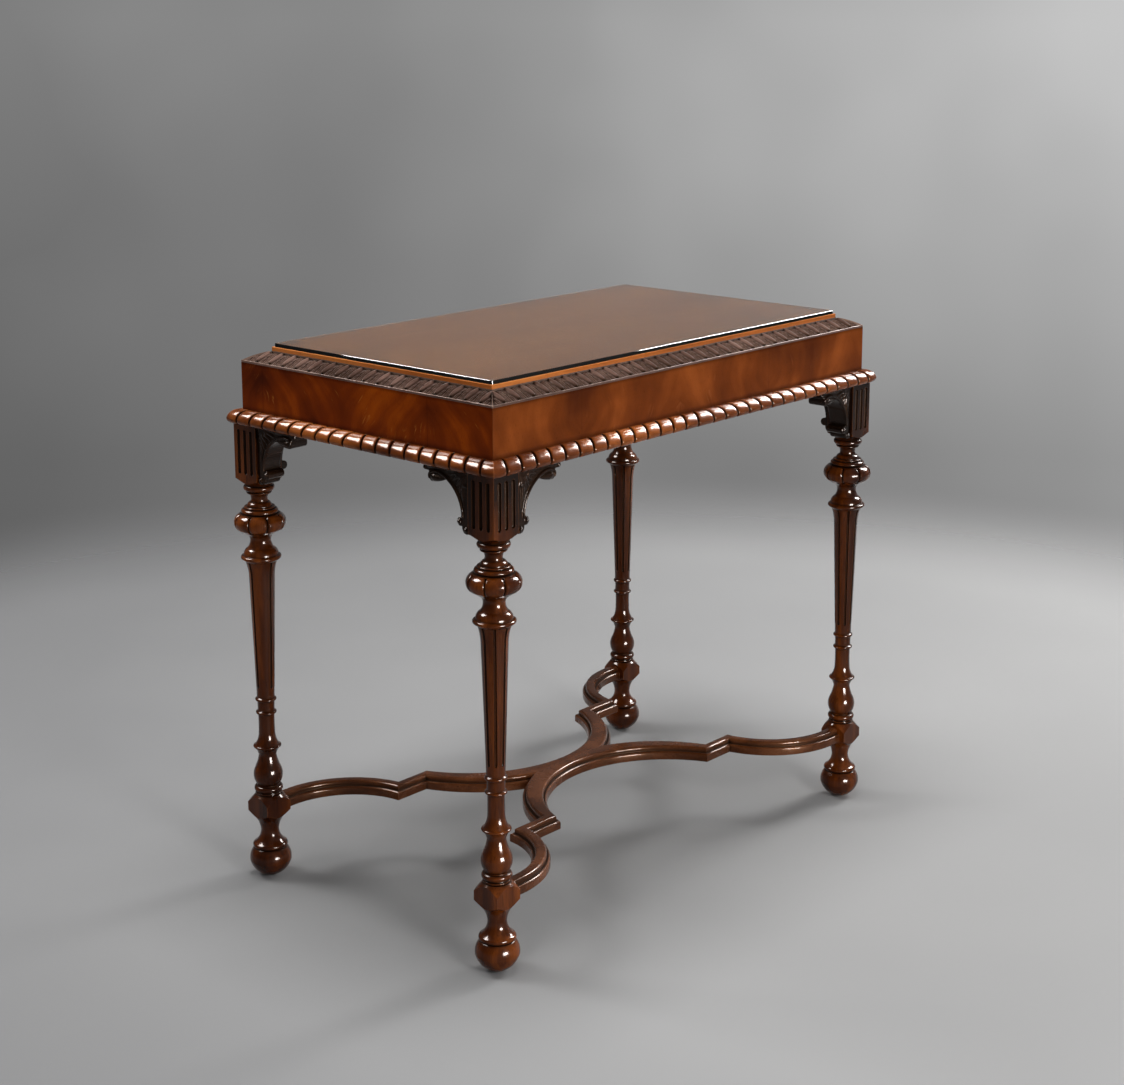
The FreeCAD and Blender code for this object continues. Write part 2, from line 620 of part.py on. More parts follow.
def stretcher_outline(inset, low):
    """Front right quarter of the stretcher in plan, with its edges moved in by an inset.

    Drawn with +Y towards the front; the caller turns it over.
    """
    sweep = point(LEG_X - ARM_STRAIGHT, LEG_Y - ARM_SWEEP_R, low)
    outer_r = ARM_SWEEP_R + ARM_WIDE / 2 - inset
    inner_r = ARM_SWEEP_R - ARM_WIDE / 2 + inset
    notch = LONG_SIDE_NOTCH - inset
    end_notch = END_SIDE_NOTCH + inset
    hollow = point(0, LONG_SIDE_WAIST + LONG_SIDE_R, low)
    hollow_r = LONG_SIDE_R + inset
    leg_face = LEG_X - LOWER_SIDE / 2

    waist = point(0, hollow.y - hollow_r, low)
    tip = point(-circle_x(0, hollow.y, hollow_r, notch), notch, low)
    corner = point(circle_x(sweep.x, sweep.y, outer_r, notch), notch, low)
    outer_turn = point(sweep.x, sweep.y + outer_r, low)
    inner_turn = point(sweep.x, sweep.y + inner_r, low)
    end_tip = point(circle_x(sweep.x, sweep.y, inner_r, end_notch), end_notch, low)

    # Circle through the crotch and the notch's inner corner, bowed away from the end.
    crotch = point(END_CROTCH, 0, low)
    end_corner = point(END_CORNER, END_SIDE_NOTCH, low)
    chord = end_corner - crotch
    across = point(-chord.y, chord.x, 0).normalize()
    reach = math.sqrt(END_SIDE_R ** 2 - (chord.Length / 2) ** 2)
    bow = (crotch + end_corner) * 0.5 + across * reach
    bow_r = END_SIDE_R - inset
    crotch = point(bow.x + math.sqrt(bow_r ** 2 - bow.y ** 2), 0, low)
    end_corner = point(bow.x + math.sqrt(bow_r ** 2 - (end_notch - bow.y) ** 2), end_notch, low)

    return Part.Wire([
        between(hollow, hollow_r, waist, tip),
        line(tip, corner),
        between(sweep, outer_r, corner, outer_turn),
        line(outer_turn, point(leg_face, outer_turn.y, low)),
        line(point(leg_face, outer_turn.y, low), point(leg_face, inner_turn.y, low)),
        line(point(leg_face, inner_turn.y, low), inner_turn),
        between(sweep, inner_r, inner_turn, end_tip),
        line(end_tip, end_corner),
        between(bow, bow_r, end_corner, crotch),
        line(crotch, point(0, 0, low)),
        line(point(0, 0, low), waist),
    ])


def stretcher_layers():
    """Quarter of the stretcher, one layer for each rise in its section."""
    layers = []
    for (low_inset, low), (high_inset, high) in zip(STRETCHER_SECTION, STRETCHER_SECTION[1:]):
        foot = stretcher_outline(low_inset, STRETCHER_BOTTOM + low)
        if high > low and high_inset == low_inset:
            layers.append(Part.Face(foot).extrude(point(0, 0, high - low)))
        elif high > low:
            head = stretcher_outline(high_inset, STRETCHER_BOTTOM + high)
            layers.append(Part.makeLoft([foot, head], True, True))
    return layers


def stretcher_half():
    """Front half of the stretcher: two arms in one yoke, glued along the middle."""
    leg_face = LEG_X - LOWER_SIDE / 2
    half = STRETCHER_TENON_WIDE / 2
    tenon = block((leg_face, leg_face + STRETCHER_TENON_LONG), (LEG_Y - half, LEG_Y + half),
                  (STRETCHER_TENON_Z, STRETCHER_TENON_Z + STRETCHER_TENON_HIGH))
    quarter = tenon.multiFuse(stretcher_layers())
    other = quarter.mirror(point(0, 0, 0), point(1, 0, 0))
    whole = quarter.fuse(other).removeSplitter()
    return whole.mirror(point(0, 0, 0), point(0, 1, 0))


def stretcher_dowels():
    middle = STRETCHER_BOTTOM + STRETCHER_HIGH / 2
    return [Part.makeCylinder(DOWEL_R, DOWEL_LONG, point(side * DOWEL_OUT, -DOWEL_LONG / 2, middle),
                              point(0, 1, 0)) for side in (-1, 1)]


def glue_block_places():
    """Middle of each block's back edge, with the direction in to the table's middle."""
    places = []
    for index in range(GLUE_BLOCKS_PER_LONG_RAIL):
        x = (index - (GLUE_BLOCKS_PER_LONG_RAIL - 1) / 2) * GLUE_BLOCK_PITCH
        places.append((x, RAIL_BACK - LEG_Y, 0, 1))
        places.append((x, LEG_Y - RAIL_BACK, 0, -1))
    places.append((RAIL_BACK - LEG_X, 0, 1, 0))
    places.append((LEG_X - RAIL_BACK, 0, -1, 0))
    return places


def glue_block(x, y, in_x, in_y):
    half = GLUE_BLOCK_LONG / 2
    reach_x = (x, x + in_x * GLUE_BLOCK_WIDE) if in_x else (x - half, x + half)
    reach_y = (y, y + in_y * GLUE_BLOCK_WIDE) if in_y else (y - half, y + half)
    return block(reach_x, reach_y, (FRIEZE_TOP - GLUE_BLOCK_HIGH, FRIEZE_TOP))


def top_screw(x, y, in_x, in_y):
    """Countersunk screw up through a glue block into the panel."""
    low = FRIEZE_TOP - GLUE_BLOCK_HIGH
    foot = point(x + in_x * SCREW_IN, y + in_y * SCREW_IN, low)
    head = Part.makeCone(SCREW_HEAD_R, SCREW_R, SCREW_HEAD_HIGH, foot)
    shank = Part.makeCylinder(SCREW_R, SCREW_LONG, foot)
    return head.fuse(shank).removeSplitter()


def save(name, shape):
    """Write one node, and print its solids and volume."""
    shape.exportStep(os.path.join("parts", name + ".step"))
    print(f"{name:28s} {len(shape.Solids)} solid(s) {shape.Volume / 1000:9.2f} cm3"
          f" valid {shape.isValid()}")


def opposite(shape, axis):
    """Mirror a piece to the other side of the table."""
    return shape.mirror(point(0, 0, 0), axis)


def save_four(name, front, left):
    """Write the front, back, left and right pieces from the front and left ones."""
    save(name + "_front", front)
    save(name + "_back", opposite(front, point(0, 1, 0)))
    save(name + "_left", left)
    save(name + "_right", opposite(left, point(1, 0, 0)))


def main():
    os.makedirs("parts", exist_ok=True)

    one_leg = leg()
    one_bracket = bracket()
    for name, (side_x, side_y) in CORNERS.items():
        save("leg_" + name, to_corner(one_leg, side_x, side_y))
        save("bracket_" + name + "_long", to_corner(one_bracket, side_x, side_y))
        save("bracket_" + name + "_short", to_corner(swap_sides(one_bracket), side_x, side_y))

    save_four("rail", long_rail(), short_rail())
    save_four("frieze_veneer", *frieze_veneers())

    nose_x = FRIEZE_X + GADROON_PROUD
    nose_y = FRIEZE_Y + GADROON_PROUD
    save_four("gadroon", *moulding_pair(gadroon_section, nose_x, nose_y,
                                        GADROON_PROUD + FRIEZE_VENEER,
                                        CAPITAL_TOP, FRIEZE_BOTTOM))

    edge_front, edge_left = moulding_pair(edge_section, FRIEZE_X, FRIEZE_Y, EDGE_WIDE,
                                          FRIEZE_TOP, EDGE_TOP)
    save_four("edge_moulding", edge_front.cut(tongue()), edge_left.cut(tongue()))

    half_x, half_y = panel_half_sizes()
    save_four("lipping", *moulding_pair(lipping_section, half_x, half_y, LIPPING_WIDE,
                                        EDGE_TOP, GLASS_BOTTOM))

    screws = [top_screw(*place) for place in glue_block_places()]
    blocks = [glue_block(*place).cut(screw)
              for place, screw in zip(glue_block_places(), screws)]
    save("top_panel", top_panel(screws))
    save("top_veneer", top_veneer())
    save("glass_top", glass_top())
    save("glue_blocks", Part.makeCompound(blocks))
    save("top_screws", Part.makeCompound(screws))

    dowels = stretcher_dowels()
    front_half = stretcher_half().cut(dowels)
    save("stretcher_front", front_half)
    save("stretcher_back", opposite(front_half, point(0, 1, 0)))
    save("stretcher_dowels", Part.makeCompound(dowels))


main()
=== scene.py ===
# %% [markdown]
# # A mahogany tea table
# This lesson dresses a table that was modelled as separate joinery pieces. The plain pieces
# keep their shape and only get a finish. The carved ones, such as the gadroon nosing, are
# rebuilt here, because carving is a surface that a joiner cuts after the wood is planed.

# %% Load the table
import bpy
import bmesh
import math
import numpy as np
from mathutils import Matrix, Vector


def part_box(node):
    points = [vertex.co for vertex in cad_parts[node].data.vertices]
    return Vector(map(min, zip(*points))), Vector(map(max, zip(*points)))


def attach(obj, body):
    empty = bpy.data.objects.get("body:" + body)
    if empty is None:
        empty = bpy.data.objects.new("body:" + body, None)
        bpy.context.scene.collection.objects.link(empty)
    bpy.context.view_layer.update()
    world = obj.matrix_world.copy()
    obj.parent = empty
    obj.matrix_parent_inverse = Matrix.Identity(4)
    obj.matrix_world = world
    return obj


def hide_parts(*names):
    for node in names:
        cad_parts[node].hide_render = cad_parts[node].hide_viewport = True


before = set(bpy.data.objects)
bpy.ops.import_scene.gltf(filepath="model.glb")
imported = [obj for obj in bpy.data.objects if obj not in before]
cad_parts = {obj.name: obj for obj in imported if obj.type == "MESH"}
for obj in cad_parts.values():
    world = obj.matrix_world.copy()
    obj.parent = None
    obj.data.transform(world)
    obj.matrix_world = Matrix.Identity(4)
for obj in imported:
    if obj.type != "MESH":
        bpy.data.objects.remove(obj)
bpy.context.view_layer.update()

MM = 0.001

# %% [markdown]
# ## The sizes that the carved pieces share
# A carver works to the joiner's sizes. They are the real ones, in millimetres: half the
# frieze each way, the heights of its edges, and the places of the leg axes. The front and
# the back are long runs and the two ends are short ones, so what differs between them is
# kept under those two names.

# %% Sizes of the table
FRIEZE_X, FRIEZE_Y = 385.5, 227.5      # frieze face, from the middle
FRIEZE_TOP, FRIEZE_BOTTOM = 715.5, 653.0
RAIL_BOTTOM = 634.5                    # underside of the rails and of the nosing
EDGE_TOP = 730.0                       # head of the carved edge
VENEER = 1.2
LEG_X, LEG_Y = 373.0, 215.0            # leg axes
BLOCK_HALF = 20.3                      # lower block of the leg
CAPITAL_HALF = 21.5
RAIL_BACK = 8.7                        # inner face of the rails, inside the leg axis
# each side's turn from the front, half its length, and how far its face is from the middle
SIDES = {"front": (0, FRIEZE_X, FRIEZE_Y), "right": (90, FRIEZE_Y, FRIEZE_X),
         "back": (180, FRIEZE_X, FRIEZE_Y), "left": (270, FRIEZE_Y, FRIEZE_X)}
RUNS = {"front": "long", "right": "short", "back": "long", "left": "short"}
CORNERS = {"front_left": (-1, -1), "front_right": (1, -1),
           "back_left": (-1, 1), "back_right": (1, 1)}
print("frieze", 2 * FRIEZE_X, "x", 2 * FRIEZE_Y, "mm")

# %% [markdown]
# ## Turning lists of points into pieces
# Every piece below ends as a list of points and faces, so a few small helpers do that work.
# One makes the mesh, one stretches a closed skin over rings of points, one turns a strip
# that was drawn for the front so that it lies on another side of the table, and one draws
# the arcs that the sections are made of.

# %% Mesh helpers
WELD = 1e-6                            # points nearer to each other than this are one, metres


def mesh_piece(name, points_mm, faces, material, body="table", flat=False, sharp=None):
    """Mesh object from points in millimetres, which rides on a body of the table.

    Edges that bend by more than sharp degrees stay crisp under smooth shading.
    """
    mesh = bpy.data.meshes.new(name)
    mesh.from_pydata([tuple(p) for p in np.asarray(points_mm) * MM], [], faces)
    tidy = bmesh.new()
    tidy.from_mesh(mesh)
    bmesh.ops.remove_doubles(tidy, verts=tidy.verts, dist=WELD)
    bmesh.ops.dissolve_degenerate(tidy, edges=tidy.edges, dist=WELD)
    bmesh.ops.recalc_face_normals(tidy, faces=tidy.faces)
    tidy.to_mesh(mesh)
    tidy.free()
    mesh.polygons.foreach_set("use_smooth", [not flat] * len(mesh.polygons))
    if sharp is not None:
        mesh.set_sharp_from_angle(angle=math.radians(sharp))
    mesh.materials.append(material)
    mesh.update()
    piece = bpy.data.objects.new(name, mesh)
    bpy.context.scene.collection.objects.link(piece)
    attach(piece, body)
    return piece


def closed_skin(rings):
    """Points and faces of a skin over rings of points, with a face on each end."""
    rings = np.asarray(rings)
    count, across = rings.shape[:2]
    faces = []
    for i in range(count - 1):
        for j in range(across):
            k = (j + 1) % across
            faces.append((i * across + j, i * across + k,
                          (i + 1) * across + k, (i + 1) * across + j))
    last = count * across - 1
    faces.append(tuple(range(across)))
    faces.append(tuple(range(last, last - across, -1)))
    return rings.reshape(-1, 3), faces


def quarter_turn(points, degrees):
    """Points turned about the table's upright axis."""
    cos, sin = round(math.cos(math.radians(degrees))), round(math.sin(math.radians(degrees)))
    turned = np.array(points, dtype=float)
    turned[:, 0], turned[:, 1] = (cos * points[:, 0] - sin * points[:, 1],
                                  sin * points[:, 0] + cos * points[:, 1])
    return turned


def three_point_arc(start, middle, end, steps):
    """Points along the circle through three points, the start and the end among them."""
    (ax, ay), (bx, by), (cx, cy) = start, middle, end
    d = 2 * (ax * (by - cy) + bx * (cy - ay) + cx * (ay - by))
    ux = ((ax**2 + ay**2) * (by - cy) + (bx**2 + by**2) * (cy - ay)
          + (cx**2 + cy**2) * (ay - by)) / d
    uy = ((ax**2 + ay**2) * (cx - bx) + (bx**2 + by**2) * (ax - cx)
          + (cx**2 + cy**2) * (bx - ax)) / d
    radius = math.hypot(ax - ux, ay - uy)
    first = math.atan2(ay - uy, ax - ux)
    turn = (math.atan2(cy - uy, cx - ux) - first) % (2 * math.pi)
    if (math.atan2(by - uy, bx - ux) - first) % (2 * math.pi) > turn:
        turn -= 2 * math.pi
    angles = first + turn * np.linspace(0, 1, steps + 1)
    return np.stack([ux + radius * np.cos(angles), uy + radius * np.sin(angles)], axis=1)


print("mesh helpers ready")

# %% [markdown]
# ## Writing materials as short recipes
# A material is a small diagram of boxes. These helpers place one box and fill its sockets,
# either with a number or with the socket of an earlier box, so that a recipe reads from top
# to bottom like a list of steps. Arithmetic on sockets gets plain words of its own.


# %% Boxes and arithmetic
def fill(tree, box, sockets):
    """Put a number, or the socket of an earlier box, into each named input."""
    for label, value in sockets.items():
        if isinstance(value, bpy.types.NodeSocket):
            tree.links.new(value, box.inputs[label])
        else:
            box.inputs[label].default_value = value


def place(tree, kind, sockets=None, **settings):
    """Add a shader node, set its options and fill its inputs."""
    box = tree.nodes.new("ShaderNode" + kind)
    for option, value in settings.items():
        setattr(box, option, value)
    fill(tree, box, sockets or {})
    return box


def arithmetic(tree, operation, first, second=0.0, clamp=False):
    """One step of arithmetic, held between 0 and 1 when clamped."""
    return place(tree, "Math", {0: first, 1: second}, operation=operation,
                 use_clamp=clamp).outputs[0]


def plus(tree, first, second, clamp=False):
    return arithmetic(tree, "ADD", first, second, clamp)


def minus(tree, first, second):
    return arithmetic(tree, "SUBTRACT", first, second)


def times(tree, first, second, clamp=False):
    return arithmetic(tree, "MULTIPLY", first, second, clamp)


def weighed(tree, *shares):
    """Sum of several sockets, each times its own share."""
    total = times(tree, *shares[0])
    for socket, share in shares[1:]:
        total = plus(tree, total, times(tree, socket, share))
    return total


def share_past(tree, value, start, span):
    """How far a value has gone past its start, from 0 to 1 over the span."""
    return arithmetic(tree, "DIVIDE", minus(tree, value, start), span, clamp=True)


def coordinates_mm(tree, position):
    """X, Y and Z of each point, in millimetres."""
    in_mm = place(tree, "VectorMath", {0: position, "Scale": 1 / MM}, operation="SCALE")
    return place(tree, "SeparateXYZ", {0: in_mm.outputs[0]}).outputs


print("arithmetic ready")

# %% [markdown]
# Patterns come from noise that is stretched, and from ramps that turn a number into a
# colour. A recipe that several materials share becomes a group: one box with named inputs
# and outputs.


# %% Colours, patterns and groups
def opaque(colour, share=1.0):
    """Colour with its alpha, darkened to a share of itself."""
    return (*[c * share for c in colour], 1)


def ramp(tree, factor, stops, smooth=False):
    """Colours or greys spread over a factor from 0 to 1."""
    box = place(tree, "ValToRGB", {"Fac": factor})
    band = box.color_ramp
    band.interpolation = "EASE" if smooth else "LINEAR"
    while len(band.elements) < len(stops):
        band.elements.new(0.5)
    for element, (position, colour) in zip(band.elements, stops):
        element.position = position
        element.color = opaque(colour if isinstance(colour, tuple) else [colour] * 3)
    return box.outputs["Color"]


def blend(tree, factor, first, second, mode="MIX"):
    """Second colour laid over the first, as strongly as the factor says."""
    box = place(tree, "Mix", {0: factor, 6: first, 7: second}, data_type="RGBA",
                blend_type=mode)
    return box.outputs[2]


def noise(tree, vector, scale, detail=4.0, rough=0.55, distortion=0.0):
    box = place(tree, "TexNoise", {"Vector": vector, "Scale": scale, "Detail": detail,
                                   "Roughness": rough, "Distortion": distortion})
    return box.outputs["Fac"]


def stretched(tree, vector, scale):
    """Coordinates times a scale for each axis; a small one draws a pattern out long."""
    return place(tree, "Mapping", {"Vector": vector, "Scale": scale}).outputs[0]


def recipe_group(name, inputs, outputs):
    """Empty node group with named inputs and outputs."""
    tree = bpy.data.node_groups.new(name, "ShaderNodeTree")
    for label, kind, value in inputs:
        socket = tree.interface.new_socket(label, in_out="INPUT",
                                           socket_type="NodeSocket" + kind)
        if value is not None:
            socket.default_value = value
    for label, kind in outputs:
        tree.interface.new_socket(label, in_out="OUTPUT", socket_type="NodeSocket" + kind)
    return tree, tree.nodes.new("NodeGroupInput").outputs, tree.nodes.new("NodeGroupOutput")


def use_group(tree, group, sockets):
    return place(tree, "Group", sockets, node_tree=group).outputs


def new_finish(name):
    """Material, its diagram, its surface shader, and the place of each of its points."""
    material = bpy.data.materials.new(name)
    material.use_nodes = True
    tree = material.node_tree
    position = place(tree, "TexCoord").outputs["Object"]
    return material, tree, tree.nodes["Principled BSDF"], position


def let_through(tree, surface, share, colour=(1, 1, 1, 1)):
    """Mix the surface with a clear one, which lets a share of the rays through."""
    clear = place(tree, "BsdfTransparent", {"Color": colour}).outputs[0]
    mixed = place(tree, "MixShader", {0: share, 1: surface.outputs[0], 2: clear})
    fill(tree, tree.nodes["Material Output"], {"Surface": mixed.outputs[0]})


print("node helpers ready")

# %% [markdown]
# ## Mahogany grain, as one group for every mahogany piece
# Mahogany has a soft, drawn-out tone that drifts from brown to red, and thousands of short
# dark pores that lie along the grain. Both come from noise that is stretched along the
# grain. The group takes coordinates that are already stretched, so each piece decides which
# way its grain runs.

# %% Mahogany grain
PORES_FINER = 9.0                      # pores are this much finer than the fine streaks
grain, took, gave = recipe_group(
    "mahogany_grain",
    [("Along grain", "Vector", None), ("Broad scale", "Float", 9.0),
     ("Fine scale", "Float", 60.0), ("Pores", "Float", 0.5)],
    [("Tone", "Float"), ("Pore mask", "Float"), ("Height", "Float")])
broad = noise(grain, took["Along grain"], took["Broad scale"], 3.0, 0.5, 0.6)
fine = noise(grain, took["Along grain"], took["Fine scale"], 5.0, 0.6, 0.2)
tone = ramp(grain, weighed(grain, (broad, 0.66), (fine, 0.34)), [(0.30, 0.0), (0.68, 1.0)],
            smooth=True)
pore_scale = times(grain, took["Fine scale"], PORES_FINER)
pore_noise = noise(grain, took["Along grain"], pore_scale, 2.0, 0.5)
pore_mask = times(grain, ramp(grain, pore_noise, [(0.60, 0.0), (0.70, 1.0)]), took["Pores"])
height = minus(grain, times(grain, fine, 0.3), pore_mask)
fill(grain, gave, {"Tone": tone, "Pore mask": pore_mask, "Height": height})
print("group", grain.name, "with", len(grain.nodes), "nodes")

# %% [markdown]
# ## Dark hollows, from dust and painted shade, and rubbed polish on the edges
# Old French polish gathers with wax and dust in flutes and quirks, and painted shade is laid
# over the same hollows, so they turn nearly black; dusting wears the edges back to brighter
# wood. Ambient occlusion measures how closed in a point is. Turned inside out, the same
# measure finds the sharp outer edges.

# %% Hollows and edges
dust_shade_and_wear_group, took, gave = recipe_group(
    "hollows_and_edges",
    [("Hollow reach", "Float", 0.012), ("Hollow strength", "Float", 1.0),
     ("Edge reach", "Float", 0.0015), ("Edge strength", "Float", 0.6)],
    [("Hollows", "Float"), ("Edges", "Float")])


def closeness(reach, strength, stops, inside):
    """Mask of the points that surfaces close in on, outside or inside the wood."""
    sky = place(dust_shade_and_wear_group, "AmbientOcclusion", {"Distance": reach}, samples=8, inside=inside,
                only_local=True)
    return times(dust_shade_and_wear_group, ramp(dust_shade_and_wear_group, sky.outputs["AO"], stops), strength, clamp=True)


fill(dust_shade_and_wear_group, gave, {
    "Hollows": closeness(took["Hollow reach"], took["Hollow strength"],
                         [(0.52, 1.0), (0.95, 0.0)], inside=False),
    "Edges": closeness(took["Edge reach"], took["Edge strength"],
                       [(0.35, 1.0), (0.80, 0.0)], inside=True)})
print("group", dust_shade_and_wear_group.name, "with", len(dust_shade_and_wear_group.nodes), "nodes")

# %% [markdown]
# ## Handled polish
# A hand-polished surface is never one gloss all over. Faint rubbers' marks and the bloom of
# old wax make it a little duller in patches. Broad patches and finer smears of noise are
# added to the gloss, because both sizes show when light slides over a real polish.

# %% Handled polish
handled, took, gave = recipe_group(
    "handled_polish",
    [("Position", "Vector", None), ("Gloss", "Float", 0.2), ("Unevenness", "Float", 0.1)],
    [("Roughness", "Float")])
patches = noise(handled, took["Position"], 14.0, 4.0, 0.6)
smears = noise(handled, took["Position"], 90.0, 3.0, 0.6)
marks = weighed(handled, (patches, 0.7), (smears, 0.3))
uneven = times(handled, minus(handled, marks, 0.5), took["Unevenness"])
fill(handled, gave, {"Roughness": plus(handled, took["Gloss"], uneven, clamp=True)})
print("group", handled.name, "with", len(handled.nodes), "nodes")

# %% [markdown]
# ## One recipe for polished mahogany
# The legs, nosing, brackets and stretcher were stained and polished together, so they share
# one recipe. What differs is given by name: the three wood colours, the direction that the
# grain runs, and how dark the hollows are, with dust and painted shade. Dust dulls the
# hollows, and most of the wax has gone from them.

# %% Polished mahogany
UPRIGHT = (1.0, 1.0, 0.09)             # scales that draw the grain out along one axis
ALONG_X = (0.09, 1.0, 1.0)
ALONG_Y = (1.0, 0.09, 1.0)
GRAIN_ALONG = {"long": ALONG_X, "short": ALONG_Y}
FINE_TO_BROAD = 6                      # fine streaks are this much finer than the clouds


def polished_mahogany(name, dark, mid, light, along, hollow, gloss, gleam, coat,
                      reach=0.012, hollow_colour=(0.006, 0.003, 0.002), edge=0.6,
                      edge_colour=(0.30, 0.11, 0.04), coat_gloss=0.11, pores=0.5, broad=9.0,
                      shade=None):
    """Mahogany material; along is the scale of the grain in x, y and z.

    gloss and coat_gloss are the roughness of the wood's polish and of the wax on it.
    """
    material, tree, surface, position = new_finish(name)
    wood = use_group(tree, grain, {"Along grain": stretched(tree, position, along),
                                   "Broad scale": broad, "Fine scale": broad * FINE_TO_BROAD,
                                   "Pores": pores})
    colour = ramp(tree, wood["Tone"], [(0.0, dark), (0.5, mid), (1.0, light)])
    colour = blend(tree, wood["Pore mask"], colour, opaque(dark, 0.25))
    if shade:
        colour = shade(tree, position, colour)
    dust_shade_and_wear = use_group(tree, dust_shade_and_wear_group, {"Hollow reach": reach, "Hollow strength": hollow,
                                    "Edge strength": edge})
    colour = blend(tree, dust_shade_and_wear["Edges"], colour, opaque(edge_colour))
    # dust and painted shade darken the hollows; the lighter edges above are wear
    colour = blend(tree, dust_shade_and_wear["Hollows"], colour, opaque(hollow_colour))
    film = use_group(tree, handled, {"Position": position, "Gloss": gloss,
                                     "Unevenness": 0.22})
    relief = place(tree, "Bump", {"Height": wood["Height"], "Strength": 0.12,
                                  "Distance": 0.0004})
    dusty = times(tree, dust_shade_and_wear["Hollows"], 0.35)
    fill(tree, surface, {
        "Base Color": colour, "Normal": relief.outputs["Normal"],
        "Roughness": plus(tree, film["Roughness"], dusty, clamp=True),
        "Specular IOR Level": gleam, "Specular Tint": (1.0, 0.50, 0.25, 1),
        "Coat Roughness": coat_gloss})
    if coat:
        wax_left = minus(tree, 1.0, times(tree, dust_shade_and_wear["Hollows"], 0.85))
        fill(tree, surface, {"Coat Weight": times(tree, wax_left, coat)})
    return material


print("recipe ready")

# %% [markdown]
# ## Finishing the legs
# Each leg is one billet of mahogany with its grain upright. The square capital gets painted
# shade at its head, where the nosing shades it, and beside the brackets, more on its front
# and back faces. A mask by height does that, and noise makes its lower edge ragged.

# %% Leg finish
HEAD_FROM, HEAD_SPAN = 582.0, 60.0     # painted shade under the nosing fades in over these heights, mm
BESIDE_FROM, BESIDE_SPAN = 575.0, 40.0  # and so does the painted shade beside the brackets
RAGGED = 50.0                          # how far noise lifts both of them, mm


def finish_node(name, material):
    """Give a joinery piece that keeps its shape its material."""
    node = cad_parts[name]
    if not node.material_slots:
        node.data.materials.append(material)
    for slot in node.material_slots:
        slot.material = material
    return node


def capital_painted_shade(tree, position, colour):
    """Painted shade on the capital, under the nosing and beside the brackets, ragged below."""
    parts = coordinates_mm(tree, position)
    ragged = times(tree, noise(tree, stretched(tree, position, (1, 1, 0.3)), 70.0), RAGGED)
    height_mm = plus(tree, parts["Z"], ragged)
    head = ramp(tree, share_past(tree, height_mm, HEAD_FROM, HEAD_SPAN),
                [(0.1, 0.0), (0.9, 0.97)])
    facing = place(tree, "SeparateXYZ", {0: place(tree, "NewGeometry").outputs["Normal"]})
    on_front = arithmetic(tree, "ABSOLUTE", facing.outputs["Y"])
    head = times(tree, head, plus(tree, 0.5, times(tree, on_front, 0.5)))
    past_axes = [minus(tree, arithmetic(tree, "ABSOLUTE", parts[axis]), leg_axis)
                 for axis, leg_axis in (("X", LEG_X), ("Y", LEG_Y))]
    from_corner = arithmetic(tree, "MINIMUM", *past_axes)
    beside = ramp(tree, share_past(tree, CAPITAL_HALF, from_corner, 2 * CAPITAL_HALF),
                  [(0.45, 0.0), (0.85, 0.85)])
    high = ramp(tree, share_past(tree, height_mm, BESIDE_FROM, BESIDE_SPAN),
                [(0.1, 0.0), (0.7, 1.0)])
    # painted shade where the nosing and the brackets shade the capital, more on its front and
    # back faces
    mask = arithmetic(tree, "MAXIMUM", head, times(tree, beside, high))
    return blend(tree, mask, colour, opaque((0.008, 0.0032, 0.002)))


leg_finish = polished_mahogany(
    "leg_mahogany", dark=(0.014, 0.0022, 0.0003), mid=(0.074, 0.015, 0.0012),
    light=(0.250, 0.060, 0.008), along=UPRIGHT, hollow=1.4, reach=0.012,
    hollow_colour=(0.006, 0.0016, 0.0003), edge_colour=(0.32, 0.10, 0.025), gloss=0.20,
    gleam=0.06, coat=0.38, coat_gloss=0.13, pores=0.4, shade=capital_painted_shade)
for corner in CORNERS:
    finish_node("leg_" + corner, leg_finish)
print("legs finished:", leg_finish.name)

# %% [markdown]
# ## Flame veneer on the frieze
# The frieze is covered with thin sheets sawn through the fork of a mahogany tree, where the
# grain fans out like flames. Sheets from one flitch are laid side by side, every other one
# turned over, so the figure mirrors at each joint. Ping-pong arithmetic gives that mirroring,
# and a lean that changes from place to place fans the strokes out.

# %% Flame figure
flame, took, gave = recipe_group(
    "flame_figure",
    [("Along", "Float", None), ("Up", "Float", None), ("Leaf width", "Float", 0.2),
     ("Lean", "Float", 0.6), ("Ribbon scale", "Float", 26.0)],
    [("Cloud", "Float"), ("Ribbons", "Float"), ("Strokes", "Float"), ("Joints", "Float")])


def on_sheet(along, up):
    return place(flame, "CombineXYZ", {"X": along, "Y": up}).outputs[0]


mirrored = arithmetic(flame, "PINGPONG", took["Along"], took["Leaf width"])
unmirrored = on_sheet(took["Along"], took["Up"])
drift = noise(flame, on_sheet(mirrored, took["Up"]), 9.0, 2.0, 0.5)
lean = plus(flame, took["Lean"], times(flame, minus(flame, drift, 0.5), 3.0))
sheared = minus(flame, mirrored, times(flame, took["Up"], lean))
fibres = on_sheet(sheared, times(flame, took["Up"], 0.22))
cloud = noise(flame, unmirrored, 8.5, 3.0, 0.5, 0.1)
ribbons = noise(flame, fibres, took["Ribbon scale"], 3.0, 0.5)
stroke_noise = noise(flame, fibres, times(flame, took["Ribbon scale"], 7.0), 3.0, 0.55)
strokes = ramp(flame, stroke_noise, [(0.60, 0.0), (0.72, 1.0)])
where = ramp(flame, noise(flame, unmirrored, 22.0, 2.0, 0.5), [(0.50, 0.0), (0.64, 1.0)])
joints = ramp(flame, times(flame, mirrored, 1 / MM), [(0.0, 1.0), (0.9, 0.0)])
fill(flame, gave, {"Cloud": cloud, "Ribbons": ribbons, "Strokes": times(flame, strokes, where),
                   "Joints": joints})
print("group", flame.name, "with", len(flame.nodes), "nodes")

